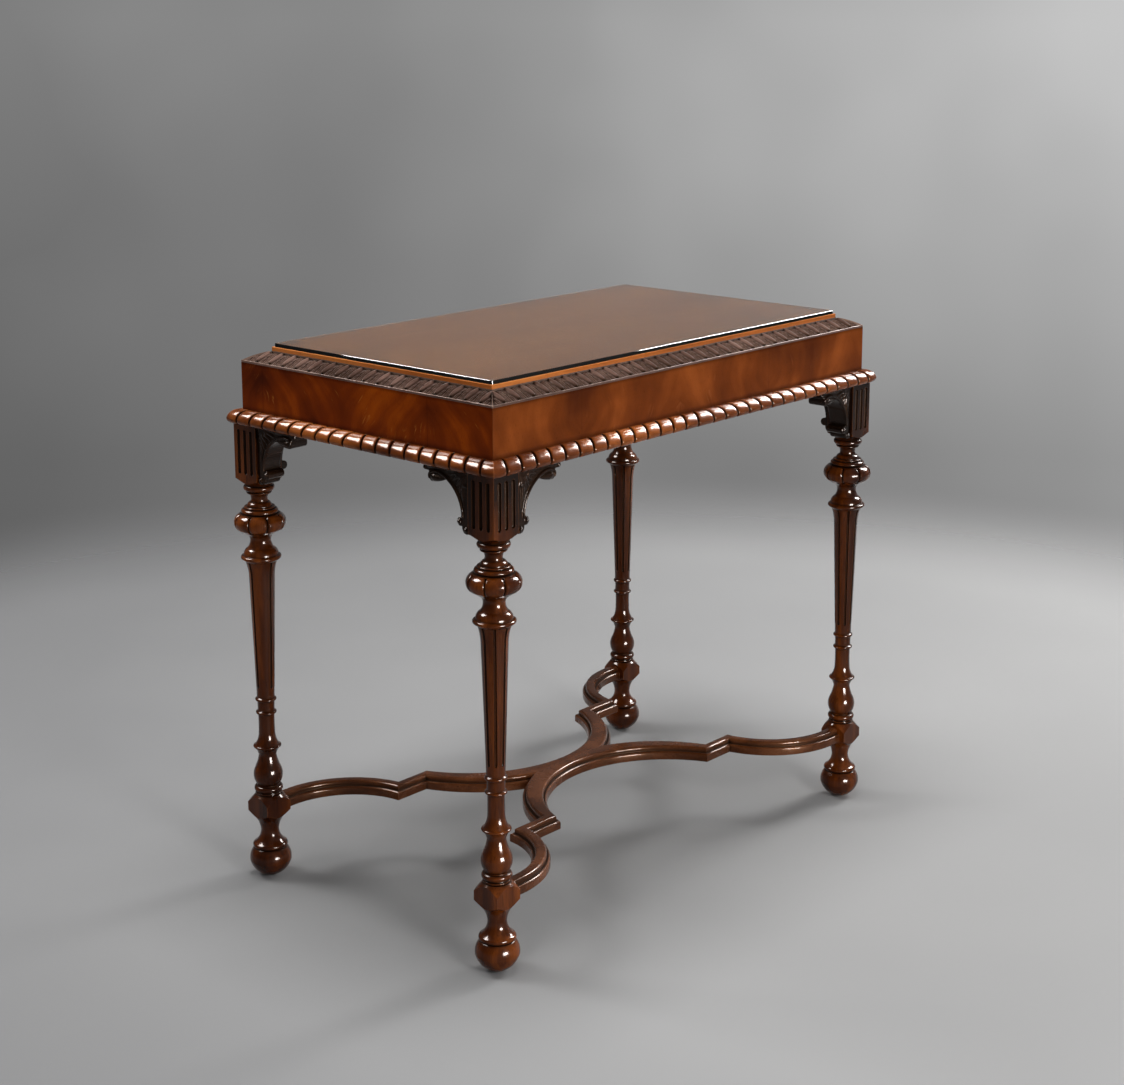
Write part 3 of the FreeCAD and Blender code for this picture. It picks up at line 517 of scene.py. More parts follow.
# %% [markdown]
# The veneer's colours, from the darkest ribbon to the lightest stroke, are laid over each
# other in the order that a polisher sees them: figure, joints, pores, and then painted shade
# along the frieze's lower and upper edges, beside the nosing and under the carved edge. The
# ends of the table have redder and livelier sheets than its long sides.

# %% Veneer finish
FRIEZE_MIDDLE = (FRIEZE_TOP + FRIEZE_BOTTOM) / 2 * MM


def veneer_finish(name, axis, dark, mid, light, stroke, leaf, lean, ribbon, offset,
                  stroke_share):
    """Polished veneer whose sheets follow each other along the given axis."""
    material, tree, surface, position = new_finish(name)
    parts = place(tree, "SeparateXYZ", {0: position}).outputs
    figure = use_group(tree, flame, {
        "Along": plus(tree, parts[axis], offset),
        "Up": minus(tree, parts["Z"], FRIEZE_MIDDLE),
        "Leaf width": leaf, "Lean": lean, "Ribbon scale": ribbon})
    tone = weighed(tree, (figure["Cloud"], 0.62), (figure["Ribbons"], 0.38))
    colour = ramp(tree, tone, [(0.34, dark), (0.50, mid), (0.66, light)])
    colour = blend(tree, times(tree, figure["Strokes"], stroke_share), colour, opaque(stroke))
    colour = blend(tree, times(tree, figure["Joints"], 0.35), colour, opaque(dark, 0.3))
    wood = use_group(tree, grain, {"Along grain": stretched(tree, position, (1, 1, 0.12)),
                                   "Broad scale": 30.0, "Fine scale": 170.0, "Pores": 0.35})
    colour = blend(tree, wood["Pore mask"], colour, opaque(dark, 0.4))
    # painted shade along the frieze's lower and upper edges, beside the nosing and under the
    # carved edge
    rise = share_past(tree, parts["Z"], FRIEZE_BOTTOM * MM, (FRIEZE_TOP - FRIEZE_BOTTOM) * MM)
    frieze_edge_shade = ramp(tree, rise, [(0.0, 0.75), (0.10, 0.12), (0.5, 0.0), (0.93, 0.10),
                              (1.0, 0.65)])
    colour = blend(tree, frieze_edge_shade, colour, opaque(dark, 0.35))
    film = use_group(tree, handled, {"Position": position, "Gloss": 0.22,
                                     "Unevenness": 0.20})
    relief = place(tree, "Bump", {"Height": wood["Height"], "Strength": 0.05,
                                  "Distance": 0.0003})
    fill(tree, surface, {
        "Base Color": colour, "Roughness": film["Roughness"],
        "Normal": relief.outputs["Normal"], "Specular IOR Level": 0.12,
        "Specular Tint": (1.0, 0.45, 0.15, 1), "Coat Weight": 0.05, "Coat Roughness": 0.12})
    return material


veneers = {
    "long": veneer_finish(
        "frieze_veneer_long", "X", dark=(0.075, 0.013, 0.002), mid=(0.185, 0.038, 0.005),
        light=(0.360, 0.086, 0.014), stroke=(0.50, 0.15, 0.04), leaf=0.193, lean=0.15,
        ribbon=22.0, offset=1.0, stroke_share=0.25),
    "short": veneer_finish(
        "frieze_veneer_short", "Y", dark=(0.055, 0.006, 0.0003), mid=(0.200, 0.027, 0.0006),
        light=(0.450, 0.080, 0.002), stroke=(0.60, 0.19, 0.03), leaf=0.152, lean=-0.7,
        ribbon=30.0, offset=1.03, stroke_share=0.6)}
for side, run in RUNS.items():
    finish_node("frieze_veneer_" + side, veneers[run])
print("frieze finished")

# %% [markdown]
# ## The gadroon nosing
# Under the frieze runs a bold nosing cut into lobes, like a row of peas that leans outwards
# from the middle of each side. The carver marks the lobes out on the plain nosing, sinks a
# groove between each pair with a V tool and rounds the lobes over. Here the nosing is a grid
# of points: its rows follow the section and its columns follow the leaning grooves, so that
# every groove lies on the grid's own lines and stays crisp.

# %% Section of the nosing
NOSE_OUT, UNDERCUT, NOSE_UP = 17.5, 5.0, 7.0     # reach, tuck back below, height of its tip
nose_tip = (NOSE_OUT, RAIL_BOTTOM + NOSE_UP)
over = three_point_arc((0.0, FRIEZE_BOTTOM),
                       (NOSE_OUT * 0.74, FRIEZE_BOTTOM - (FRIEZE_BOTTOM - RAIL_BOTTOM) * 0.2),
                       nose_tip, 16)
under = three_point_arc(nose_tip, (NOSE_OUT - UNDERCUT * 0.24, RAIL_BOTTOM + NOSE_UP * 0.34),
                        (NOSE_OUT - UNDERCUT, RAIL_BOTTOM), 6)
carved_rows = np.vstack([over, under[1:]])
back_rows = np.array([[-VENEER, RAIL_BOTTOM], [-VENEER, FRIEZE_BOTTOM]])


def outward_normals(rows):
    """Direction that faces out at each point of an open section."""
    along = np.gradient(rows, axis=0)
    normals = np.stack([-along[:, 1], along[:, 0]], axis=1)
    normals /= np.linalg.norm(normals, axis=1)[:, None]
    return normals * np.sign(normals[len(rows) // 2, 0])


print("section rows", len(carved_rows))

# %% [markdown]
# A V groove with a slightly rounded lip needs points close together at its middle and few
# on the lobe beside it, so the columns crowd at each groove. The grooves lean by 7 mm from
# root to tip and are half as deep at the root, and the corners are rubbed round.

# %% Cut the lobes
GROOVE_STEPS = np.array([0.0, 0.5, 1.0, 1.35, 1.7, 2.2, 3.0, 4.2])   # from its middle, mm
GROOVE_DEPTHS = np.array([3.6, 3.4, 2.9, 2.0, 1.1, 0.6, 0.2, 0.0])
LOBE_COLUMN = 9.6                      # one more column on the lobe, this far before a groove
CLOSEST = 0.3                          # columns stay at least this far apart
SLANT = 7.0                            # how far a groove leans from its root to its tip
CORNER_POWER = 5.5                     # a higher power leaves the corners sharper


def gadroon_columns(first, pitch, grooves, half_nose):
    """Places along the nose: close together at the grooves, wide apart on the lobes."""
    centres = first + pitch * np.arange(grooves)
    about = np.concatenate([-GROOVE_STEPS, GROOVE_STEPS, [pitch / 2, -LOBE_COLUMN]])
    places = {0.0, half_nose}
    for centre in centres:
        places.update(round(float(v), 4) for v in centre + about)
    places = sorted(p for p in places if 0 <= p <= half_nose)
    places = [p for p, q in zip(places, places[1:] + [None])
              if q is None or q - p > CLOSEST]
    return np.array([-p for p in places[:0:-1]] + places), centres


def gadroon_rings(half_side, first, pitch, grooves, outer):
    """Rings of the nosing on the front side, from its left end to its right end."""
    half_nose, back_end = half_side + NOSE_OUT, half_side - VENEER
    columns, centres = gadroon_columns(first, pitch, grooves, half_nose)
    last = centres[-1]
    normals = outward_normals(carved_rows)
    share_out = carved_rows[:, 0] / NOSE_OUT
    share_out[len(over):] = 1.0
    slant = SLANT * (1 - share_out)
    fade = np.clip(0.5 + share_out * 1.8, 0, 1)
    fade[len(over):] = np.linspace(0.95, 0.45, len(fade) - len(over))
    mitre, start = half_side + carved_rows[:, 0], last - slant
    rings = []
    for nominal in columns:
        side, along = math.copysign(1, nominal), abs(nominal)
        if along > last:
            share = (along - last) / (half_nose - last)
            reach = start + share * (mitre - start)
            back_reach = last + share * (back_end - last)
        else:
            reach = along - slant * min(along / centres[0], 1.0)
            back_reach = along
        depth = np.interp(np.min(np.abs(along - centres)), GROOVE_STEPS, GROOVE_DEPTHS) * fade
        cut = carved_rows - normals * depth[:, None]
        front = np.stack([side * reach, -(outer + cut[:, 0]), cut[:, 1]], axis=1)
        back = np.array([[side * back_reach, -(outer + r), z] for r, z in back_rows])
        rings.append(np.vstack([front, back]))
    return rounded_corner(np.array(rings), half_side, outer)


def rounded_corner(rings, half_side, outer):
    """Pull the nosing's mitred corners in, as they are worn and rubbed round."""
    past = np.clip(np.abs(rings[..., 0]) - half_side, 0, None)
    out = np.clip(-rings[..., 1] - outer, 0, None)
    reach = (past**CORNER_POWER + out**CORNER_POWER) ** (1 / CORNER_POWER)
    share = np.where(reach > 0, np.maximum(past, out) / np.maximum(reach, 1e-9), 1.0)
    rings[..., 0] -= np.sign(rings[..., 0]) * past * (1 - share)
    rings[..., 1] += out * (1 - share)
    return rings


# the strong, nearly black hollows paint shade into the grooves, together with dust
gadroon_finish = polished_mahogany(
    "gadroon_mahogany", dark=(0.060, 0.011, 0.0015), mid=(0.145, 0.033, 0.005),
    light=(0.300, 0.080, 0.014), along=(0.5, 0.5, 1.0), hollow=1.7, reach=0.007,
    hollow_colour=(0.003, 0.001, 0.001), edge=0.3, edge_colour=(0.34, 0.11, 0.035),
    gloss=0.22, gleam=0.15, coat=0.26, coat_gloss=0.11, pores=0.35, broad=14.0)
# first groove from the middle, pitch, and number of grooves on each half of a side
GADROONS = {"long": (16.5, 25.9, 15), "short": (16.8, 25.6, 9)}
for side, (degrees, half_side, outer) in SIDES.items():
    points, faces = closed_skin(gadroon_rings(half_side, *GADROONS[RUNS[side]], outer))
    piece = mesh_piece("gadroon_lobes_" + side, quarter_turn(points, degrees), faces,
                       gadroon_finish, sharp=55)
    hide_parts("gadroon_" + side)
    print(piece.name, len(points), "points")

# %% [markdown]
# ## The carved edge under the lipping
# Round the head of the frieze a sloping moulding is carved with tongues between ribbed
# leaves, a running pattern that is centuries old. Each repeat is a height map over the
# slope: a tongue is half an egg, and a leaf is a broad swelling with a vein down its middle
# and ribs beside it. The ground between them is sunk about 3 mm below the old surface.

# %% Height of the carving
TONGUE_HIGH = 3.2                      # heights of the relief, mm
LEAF_BODY, RIB_HIGH, VEIN_DEEP = 0.8, 1.5, 1.3
TONGUE_WIDE = 0.19                     # widths and spacings, as shares of a repeat
LEAF_WIDE, LEAF_TAPER = 0.34, 0.20
RIB_EVERY, VEIN_WIDE = 0.105, 0.022


def carving_height(phase, up):
    """Height above the ground in mm; phase is 0 at a tongue and 0.5 at a leaf's vein."""
    from_tongue = np.abs((phase + 0.5) % 1.0 - 0.5)
    from_vein = 0.5 - from_tongue
    egg = TONGUE_WIDE * np.sqrt(np.clip(1 - ((up - 0.56) / 0.44) ** 2, 0.0004, 1))
    tongue = TONGUE_HIGH * np.clip(1 - (from_tongue / egg) ** 2, 0, 1) ** 0.65
    wide = LEAF_WIDE - LEAF_TAPER * np.clip((up - 0.15) / 0.8, 0, 1)
    swell = np.clip(1 - (from_vein / wide) ** 2, 0, 1) ** 0.5
    ribs = 0.5 + 0.5 * np.cos(2 * np.pi * (from_vein / RIB_EVERY + 0.9 * up))
    vein = VEIN_DEEP * np.exp(-(from_vein / VEIN_WIDE) ** 2)
    leaf = swell * (LEAF_BODY + RIB_HIGH * ribs) - vein
    under_head = np.clip((1.02 - up) / 0.10, 0, 1)
    return np.maximum(tongue, np.maximum(leaf, 0)) * under_head


print("ground to tongue", TONGUE_HIGH, "mm")

# %% [markdown]
# The slope is a shallow arc above a plain fillet. Every column of its grid is sunk from the
# old surface by what the height map leaves, square to the slope, as a carver sinks the
# ground and leaves the pattern standing. The ends are clipped at the mitres.

# %% Carve the edge
EDGE_WIDE, FILLET_HIGH, GROUND = 28.5, 3.0, 3.2   # slope, fillet, and depth of the ground
FOOT_BACK, CROWNED, EASED = 1.0, 1.5, 0.4         # foot of the slope, its crown, the corner
COLUMNS_EACH = 38                                 # columns of points in one repeat
EDGE_REPEATS = {"long": 30, "short": 18}
slope_foot = FRIEZE_TOP + FILLET_HIGH
slope = three_point_arc((-FOOT_BACK, slope_foot),
                        (-(FOOT_BACK + EDGE_WIDE) / 2, (slope_foot + EDGE_TOP) / 2 + CROWNED),
                        (-EDGE_WIDE, EDGE_TOP), 26)
slope_normals = outward_normals(slope)
plain_start = np.array([[-EDGE_WIDE, FRIEZE_TOP], [0.0, FRIEZE_TOP],
                        [0.0, slope_foot - EASED], [-EASED, slope_foot]])
edge_finish = polished_mahogany(
    "edge_mahogany", dark=(0.044, 0.023, 0.017), mid=(0.092, 0.051, 0.039),
    light=(0.155, 0.092, 0.072), along=(0.5, 0.5, 1.0), hollow=1.5, reach=0.005,
    hollow_colour=(0.003, 0.0012, 0.001), edge=0.6, edge_colour=(0.26, 0.17, 0.13),
    gloss=0.30, gleam=0.2, coat=0.20, coat_gloss=0.17, broad=16.0)


def edge_rings(half_side, outer, repeats):
    """Rings of the carved edge on the front side, clipped at its mitres."""
    pitch = 2 * half_side / repeats
    up = np.linspace(0, 1, len(slope))
    limit = half_side + np.concatenate([plain_start[:, 0], slope[:, 0]])
    rings = []
    for along in np.linspace(-half_side, half_side, repeats * COLUMNS_EACH + 1):
        height = carving_height((along + half_side) / pitch, up)
        sink = np.clip(GROUND - height, 0, GROUND)
        sink[[0, -1]] = 0.0
        ring = np.vstack([plain_start, slope - slope_normals * sink[:, None]])
        reach = np.clip(along, -limit, limit)
        rings.append(np.stack([reach, -(outer + ring[:, 0]), ring[:, 1]], axis=1))
    return rings


for side, (degrees, half_side, outer) in SIDES.items():
    points, faces = closed_skin(edge_rings(half_side, outer, EDGE_REPEATS[RUNS[side]]))
    piece = mesh_piece("edge_carving_" + side, quarter_turn(points, degrees), faces,
                       edge_finish, sharp=60)
    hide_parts("edge_moulding_" + side)
    print(piece.name, len(points), "points")

# %% [markdown]
# ## The knee brackets
# A scrolled bracket fills the corner between each capital and rail. On the real table it is
# sawn to its outline, and a bead, a spray of leaves and a curled scroll are then carved on its
# face. Carving is all soft joins, so here the sawn body, the bead, the leaves and the knobs
# are laid into each other as separate solids, and a voxel remesh melts them into one skin,
# as a carver's gouge would leave it. One bracket is made and seven mirrored copies taken.

# %% Rods, knobs and plates
ROUND = 12                              # points round a rod or a knob


def swept_rod(path, radii, squash=1.0):
    """Rod along a path of (out, depth, up) points, closed at both ends."""
    path, radii = np.asarray(path, dtype=float), np.asarray(radii, dtype=float)
    along = np.gradient(path, axis=0)
    along /= np.linalg.norm(along, axis=1)[:, None]
    depth = np.array([0.0, 1.0, 0.0])
    across = np.cross(along, depth)
    across /= np.linalg.norm(across, axis=1)[:, None]
    angles = np.linspace(0, 2 * np.pi, ROUND, endpoint=False)
    rings = [p + r * (np.outer(np.cos(angles), a) + squash * np.outer(np.sin(angles), depth))
             for p, r, a in zip(path, radii, across)]
    return closed_skin(rings)


def knob(centre, radius):
    """Ball, as a pile of rings."""
    angles = np.linspace(0, 2 * np.pi, ROUND, endpoint=False)
    rings = []
    for tilt in np.linspace(-0.98, 0.98, 8) * math.pi / 2:
        ring = np.stack([np.cos(angles) * math.cos(tilt), np.sin(angles) * math.cos(tilt),
                         np.full(ROUND, math.sin(tilt))], axis=1)
        rings.append(np.array(centre) + radius * ring)
    return closed_skin(rings)


def laid(line, depth):
    """Points of a flat line of (out, up), laid at one depth."""
    line = np.asarray(line)
    return np.stack([line[:, 0], np.full(len(line), depth), line[:, 1]], axis=1)


def plate(outline, near, far):
    """Flat plate with the given outline, between two depths."""
    return closed_skin([laid(outline, depth) for depth in (near, far)])


print("rods have", ROUND, "sides")

# %% [markdown]
# The outline is drawn as (out, up) from where the leg's axis meets the rail's underside. The
# bead follows the outline a little inside it, and seven leaves spring from one root beside
# the capital. The middle leaf of the spray is the shortest and the fattest.

# %% Outline and solids of one bracket
SET_BACK = 2.0                          # the face lies this far behind the capital's
FACE = SET_BACK - CAPITAL_HALF          # front of the bracket, from the leg axis
GROUND_BACK = 1.3                       # the ground is sunk this far behind the face
ROOT = CAPITAL_HALF - 0.5               # inner end, let into the capital
REACH, STRIP = 98.0, 3.4                # outer end, and the plain strip under the rail
BUD_TIP = (60.5, -14.9)                 # inner tip of the bud at the outer end
CROWN, ARCH_MID, ARCH_FOOT = (72.5, -8.0), (46.5, -25.0), (34.2, -58.0)
BUD_RADII = [0.8, 1.5, 2.3, 3.1, 3.9, 4.5, 4.8, 4.4, 2.8]
LEAF_ROOT, LEAF_BOW = np.array([25.5, -4.5]), 0.07
LEAF_SWELL = np.array([0.5, 0.75, 0.95, 1.1, 1.2, 1.2, 1.05, 0.8, 0.35])
LEAVES = [((63, -3.2), 1.5), ((56, -9.2), 1.9), ((48.5, -14.5), 2.1), ((42.0, -20.5), 2.2),
          ((37.0, -28.0), 2.1), ((32.8, -37.0), 1.9), ((29.6, -47.0), 1.6)]   # tip, fatness
KNOBS = [(40.5, -6.6, 2.6), (34.4, -8.8, 2.6), (28.6, -17.6, 2.6),
         (95.6, -4.6, 2.6), (38.4, -62.6, 3.0), (27.5, -71.5, 2.8)]           # out, up, radius


def bracket_outline():
    corner = [(ROOT, 0.0), (REACH, 0.0), (REACH, -8.0), (89.9, -8.0)]
    scroll = three_point_arc((89.9, -14.7), (88.2, -19.0), (83.8, -20.8), 8)
    belly = three_point_arc((83.8, -20.8), (73.0, -19.4), BUD_TIP, 8)
    arch = three_point_arc(CROWN, ARCH_MID, ARCH_FOOT, 24)
    arch = arch[arch[:, 0] < BUD_TIP[0]]
    ball = three_point_arc(ARCH_FOOT, (43.0, -63.0), (34.4, -67.8), 10)
    tail = three_point_arc((34.4, -67.8), (31.0, -76.5), (ROOT, -74.5), 10)
    return np.vstack([corner, scroll, belly[1:], arch, ball[1:], tail[1:]])


def bead():
    """Round bead that curls at the outer end and runs down the arch."""
    curl = three_point_arc((87.4, -17.6), (88.4, -12.6), (83.0, -8.4), 12)
    crest = three_point_arc((83.0, -8.4), (78.0, -7.2), (71.5, -7.6), 5)
    arch = three_point_arc((71.5, -7.6), (45.4, -23.8), (32.9, -58.0), 26)
    line = np.vstack([curl, crest[1:], arch[1:]])
    radii = np.interp(np.arange(len(line)), [0, 6, 14, 24, len(line) - 1],
                      [1.1, 1.6, 1.8, 1.8, 1.3])
    return swept_rod(laid(line, FACE + 0.3), radii)


def leaf(tip, fat):
    """Bowed leaf from the common root to its tip."""
    tip = np.array(tip)
    way = tip - LEAF_ROOT
    bow = np.array([-way[1], way[0]]) * LEAF_BOW
    share = np.linspace(0, 1, len(LEAF_SWELL))[:, None]
    line = LEAF_ROOT + way * share + bow * np.sin(math.pi * share)
    return swept_rod(laid(line, FACE + 0.9), fat * LEAF_SWELL, squash=0.85)


def carved_solids():
    """The sawn body and everything that is carved on it, as overlapping solids."""
    bud_line = three_point_arc((61.5, -14.6), (73.0, -15.6), (86.2, -14.4),
                               len(BUD_RADII) - 1)
    body = [plate(bracket_outline(), FACE + GROUND_BACK, RAIL_BACK),
            plate([(ROOT, 0), (REACH, 0), (REACH, -STRIP), (ROOT, -STRIP)], FACE, RAIL_BACK)]
    carved = [bead(), swept_rod(laid(bud_line, FACE + 1.8), BUD_RADII, squash=0.7)]
    carved += [leaf(tip, fat) for tip, fat in LEAVES]
    carved += [knob((out, FACE + 0.9, up), radius) for out, up, radius in KNOBS]
    return body + carved


solids = carved_solids()
print("one bracket is laid up from", len(solids), "solids")

# %% [markdown]
# The remesh turns the pile of solids into one closed skin. A light smoothing then rounds its
# edges over by about half a millimetre, as polish and handling do.

# %% Melt the solids together
VOXEL = 0.75                            # size of the remesh, mm


def melted(solids):
    """Points in millimetres and quads of one skin round all the solids."""
    points, faces = [], []
    for part_points, part_faces in solids:
        start = sum(len(p) for p in points)
        points.append(part_points)
        faces += [tuple(start + i for i in face) for face in part_faces]
    mesh = bpy.data.meshes.new("bracket_solids")
    mesh.from_pydata([tuple(p) for p in np.vstack(points) * MM], [], faces)
    lump = bpy.data.objects.new("bracket_solids", mesh)
    bpy.context.scene.collection.objects.link(lump)
    remesh = lump.modifiers.new("melt", "REMESH")
    remesh.mode = "VOXEL"
    remesh.voxel_size = VOXEL * MM
    soften = lump.modifiers.new("soften", "SMOOTH")
    soften.factor = 0.5
    soften.iterations = 2
    skin_mesh = bpy.data.meshes.new_from_object(
        lump.evaluated_get(bpy.context.evaluated_depsgraph_get()))
    found = np.empty(len(skin_mesh.vertices) * 3)
    skin_mesh.vertices.foreach_get("co", found)
    quads = [tuple(p.vertices) for p in skin_mesh.polygons]
    bpy.data.objects.remove(lump)
    bpy.data.meshes.remove(skin_mesh)
    return found.reshape(-1, 3) / MM, quads


bracket_points, bracket_faces = melted(solids)
print("bracket skin:", len(bracket_faces), "faces")

# %% [markdown]
# Each capital carries two brackets, one along each rail. They are the darkest wood on the
# table: their wood is nearly black, polish and dust stay in so much carving and its hollows
# get painted shade, and only the tops of the leaves are rubbed lighter.

# %% Place the eight brackets
bracket_finish = polished_mahogany(
    "bracket_mahogany", dark=(0.004, 0.0018, 0.001), mid=(0.010, 0.004, 0.002),
    light=(0.024, 0.009, 0.004), along=ALONG_X, hollow=1.5, reach=0.006,
    hollow_colour=(0.0015, 0.0006, 0.0003), edge=0.7, edge_colour=(0.065, 0.026, 0.012),
    gloss=0.22, gleam=0.1, coat=0.32, coat_gloss=0.11, pores=0.2)
out, depth, up = bracket_points.T
for corner, (side_x, side_y) in CORNERS.items():
    for run, (x, y) in {"long": (out, depth), "short": (depth, out)}.items():
        points = np.stack([side_x * (LEG_X - x), side_y * (LEG_Y - y), RAIL_BOTTOM + up], axis=1)
        name = corner + "_" + run
        piece = mesh_piece("bracket_carved_" + name, points, bracket_faces, bracket_finish)
        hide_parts("bracket_" + name)
print("brackets placed")

# %% [markdown]
# ## The serpentine stretcher
# Two yokes, each with two arms, are glued back to back along the middle. Their edges carry
# one moulding all round: an eased square below, a small quirk, and a rounded member above.
# The moulding is drawn once as pairs of inset and height. The plan is then drawn again at
# every inset, each time with the same number of points, so that the layers can be skinned.

# %% Plan of the stretcher at an inset
STRETCHER_TOP, STRETCHER_HIGH = 111.0, 19.5
ARM_WIDE, SWEEP_R, ARM_STRAIGHT = 24.3, 115.3, 35.7    # arm: its width, sweep and straight end
HOLLOW_R, WAIST, NOTCH = 170.5, 18.5, 128.5            # long side: hollow, waist, stepped edge
CROTCH, END_R, END_CORNER, END_NOTCH = 84.0, 194.0, 180.0, 105.9   # the hollow at an end
ARC_STEPS, END_STEPS, LINE_STEPS = 40, 30, 4           # points on each stretch of the plan


def arc_about(centre, start, end, steps):
    """Points about a centre from one point to another, the short way round."""
    centre, start, end = map(np.array, (centre, start, end))
    radius = np.linalg.norm(start - centre)
    first = math.atan2(*(start - centre)[::-1])
    turn = (math.atan2(*(end - centre)[::-1]) - first + math.pi) % (2 * math.pi) - math.pi
    angles = first + turn * np.linspace(0, 1, steps + 1)
    return centre + radius * np.stack([np.cos(angles), np.sin(angles)], axis=1)


def straight(start, end):
    return np.array(start) + np.outer(np.linspace(0, 1, LINE_STEPS + 1),
                                      np.array(end) - np.array(start))


def lesser_x(centre, radius, y):
    """Where a circle crosses a level line, on the side of the lesser x."""
    return centre[0] - math.sqrt(radius**2 - (y - centre[1])**2)


def end_bow():
    """Centre of the hollow at the end, through its crotch and its corner."""
    crotch, corner = np.array((CROTCH, 0.0)), np.array((END_CORNER, END_NOTCH))
    chord = corner - crotch
    across = np.array((-chord[1], chord[0])) / np.linalg.norm(chord)
    return (crotch + corner) / 2 + across * math.sqrt(END_R**2 - (chord @ chord) / 4)


def quarter_plan(inset):
    """Half of the front yoke, from its waist round the arm to the middle of the end."""
    sweep = (LEG_X - ARM_STRAIGHT, LEG_Y - SWEEP_R)
    outer, inner = SWEEP_R + ARM_WIDE / 2 - inset, SWEEP_R - ARM_WIDE / 2 + inset
    notch, end_notch = NOTCH - inset, END_NOTCH + inset
    hollow, hollow_r = (0.0, WAIST + HOLLOW_R), HOLLOW_R + inset
    bow, bow_r = end_bow(), END_R - inset
    leg_face = LEG_X - BLOCK_HALF
    waist = (0.0, hollow[1] - hollow_r)
    tip = (-lesser_x(hollow, hollow_r, notch), notch)
    corner = (lesser_x(sweep, outer, notch), notch)
    outer_bend, outer_end = (sweep[0], sweep[1] + outer), (leg_face, sweep[1] + outer)
    inner_bend, inner_end = (sweep[0], sweep[1] + inner), (leg_face, sweep[1] + inner)
    end_tip = (lesser_x(sweep, inner, end_notch), end_notch)
    end_corner = (bow[0] + math.sqrt(bow_r**2 - (end_notch - bow[1])**2), end_notch)
    crotch = (bow[0] + math.sqrt(bow_r**2 - bow[1]**2), 0.0)
    runs = [arc_about(hollow, waist, tip, ARC_STEPS), straight(tip, corner),
            arc_about(sweep, corner, outer_bend, ARC_STEPS), straight(outer_bend, outer_end),
            straight(outer_end, inner_end), straight(inner_end, inner_bend),
            arc_about(sweep, inner_bend, end_tip, ARC_STEPS), straight(end_tip, end_corner),
            arc_about(bow, end_corner, crotch, END_STEPS)]
    return np.vstack([run[:-1] for run in runs] + [[crotch]])


def yoke_plan(inset):
    """Whole plan of the front yoke: the right half, and the left half mirrored from it."""
    right = quarter_plan(inset)
    return np.vstack([right, right[:0:-1] * (-1, 1)])


print("plan points", len(yoke_plan(0)))

# %% [markdown]
# The two yokes are skinned from the same layers, and the back one mirrors the front one.
# The polish on them is a little greyer than on the legs.

# %% Build the two yokes
MOULDING = [(0.9, 0.0), (0.0, 0.9), (0.0, 9.2), (0.35, 10.4), (1.1, 11.4), (2.1, 12.0),
            (3.2, 12.15), (4.0, 11.7), (4.7, 11.8), (4.9, 12.6), (4.9, 14.4), (4.6, 15.4),
            (4.7, 16.6), (5.2, 17.9), (6.2, 18.9), (7.6, 19.4), (9.0, 19.5)]
stretcher_finish = polished_mahogany(
    "stretcher_mahogany", dark=(0.036, 0.010, 0.003), mid=(0.088, 0.025, 0.007),
    light=(0.160, 0.052, 0.018), along=(0.4, 0.4, 1.0), hollow=1.1, reach=0.008,
    edge_colour=(0.24, 0.10, 0.05), gloss=0.26, gleam=0.15, coat=0.26, coat_gloss=0.11,
    broad=18.0)
for side, way in (("front", -1), ("back", 1)):
    rings = []
    for inset, rise in MOULDING:
        plan = yoke_plan(inset)
        layer = np.full(len(plan), STRETCHER_TOP - STRETCHER_HIGH + rise)
        rings.append(np.stack([plan[:, 0], way * plan[:, 1], layer], axis=1))
    points, faces = closed_skin(rings)
    piece = mesh_piece("stretcher_moulded_" + side, points, faces, stretcher_finish, sharp=38)
    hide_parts("stretcher_" + side)
    print(piece.name, len(points), "points")

# %% [markdown]
# ## The lipping
# A thin band of paler wood edges the top. It was stained like the top as far as the glass
# covers it, so only a bright line shows round the glass. Its grain follows its own length,
# so the long bands need another direction than the end bands. The bands keep their joinery
# shape and only lose their sharp corners.


# %% Lipping finish
def plain_timber(name, dark, mid, light, along, gloss, broad=9.0, shade=None):
    """Timber without a coat of wax, from satinwood to bare pine."""
    return polished_mahogany(name, dark=dark, mid=mid, light=light, along=along, hollow=0.5,
                             reach=0.004, edge=0.25, hollow_colour=opaque(dark, 0.3)[:3],
                             edge_colour=light, gloss=gloss, gleam=0.2, coat=0.0, pores=0.3,
                             broad=broad, shade=shade)


def stained_under_glass(tree, position, colour):
    """Carry the dark stain of the top over the band, as far as the glass covers it."""
    parts = coordinates_mm(tree, position)
    half_x, half_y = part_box("glass_top")[1][0] / MM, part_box("glass_top")[1][1] / MM
    within = [arithmetic(tree, "LESS_THAN", arithmetic(tree, "ABSOLUTE", parts[axis]), half)
              for axis, half in (("X", half_x), ("Y", half_y))]
    return blend(tree, times(tree, *within), colour, (0.10, 0.036, 0.007, 1))


def ease_edges(node, width_mm):
    """Round the sharp corners of a joinery piece."""
    bevel = node.modifiers.new("eased_corners", "BEVEL")
    bevel.width = width_mm * MM
    bevel.segments = 2
    bevel.limit_method = "ANGLE"
    bevel.angle_limit = math.radians(50)


lippings = {run: plain_timber("lipping_satinwood_" + run, (0.40, 0.105, 0.020),
                              (0.58, 0.175, 0.038), (0.68, 0.24, 0.060), along, gloss=0.30,
                              broad=22.0, shade=stained_under_glass)
            for run, along in GRAIN_ALONG.items()}
for side, run in RUNS.items():
    ease_edges(finish_node("lipping_" + side, lippings[run]), 0.5)
print("lipping finished")

# %% [markdown]
# ## The veneered top
# The top is one sheet of quieter mahogany with its grain along the table. Broad clouds of
# tone, fine streaks and open pores are enough, because the glass softens them. It has no
# hollows or edges of its own, so the dust and painted shade of hollows and the wear of edges
# are left off.

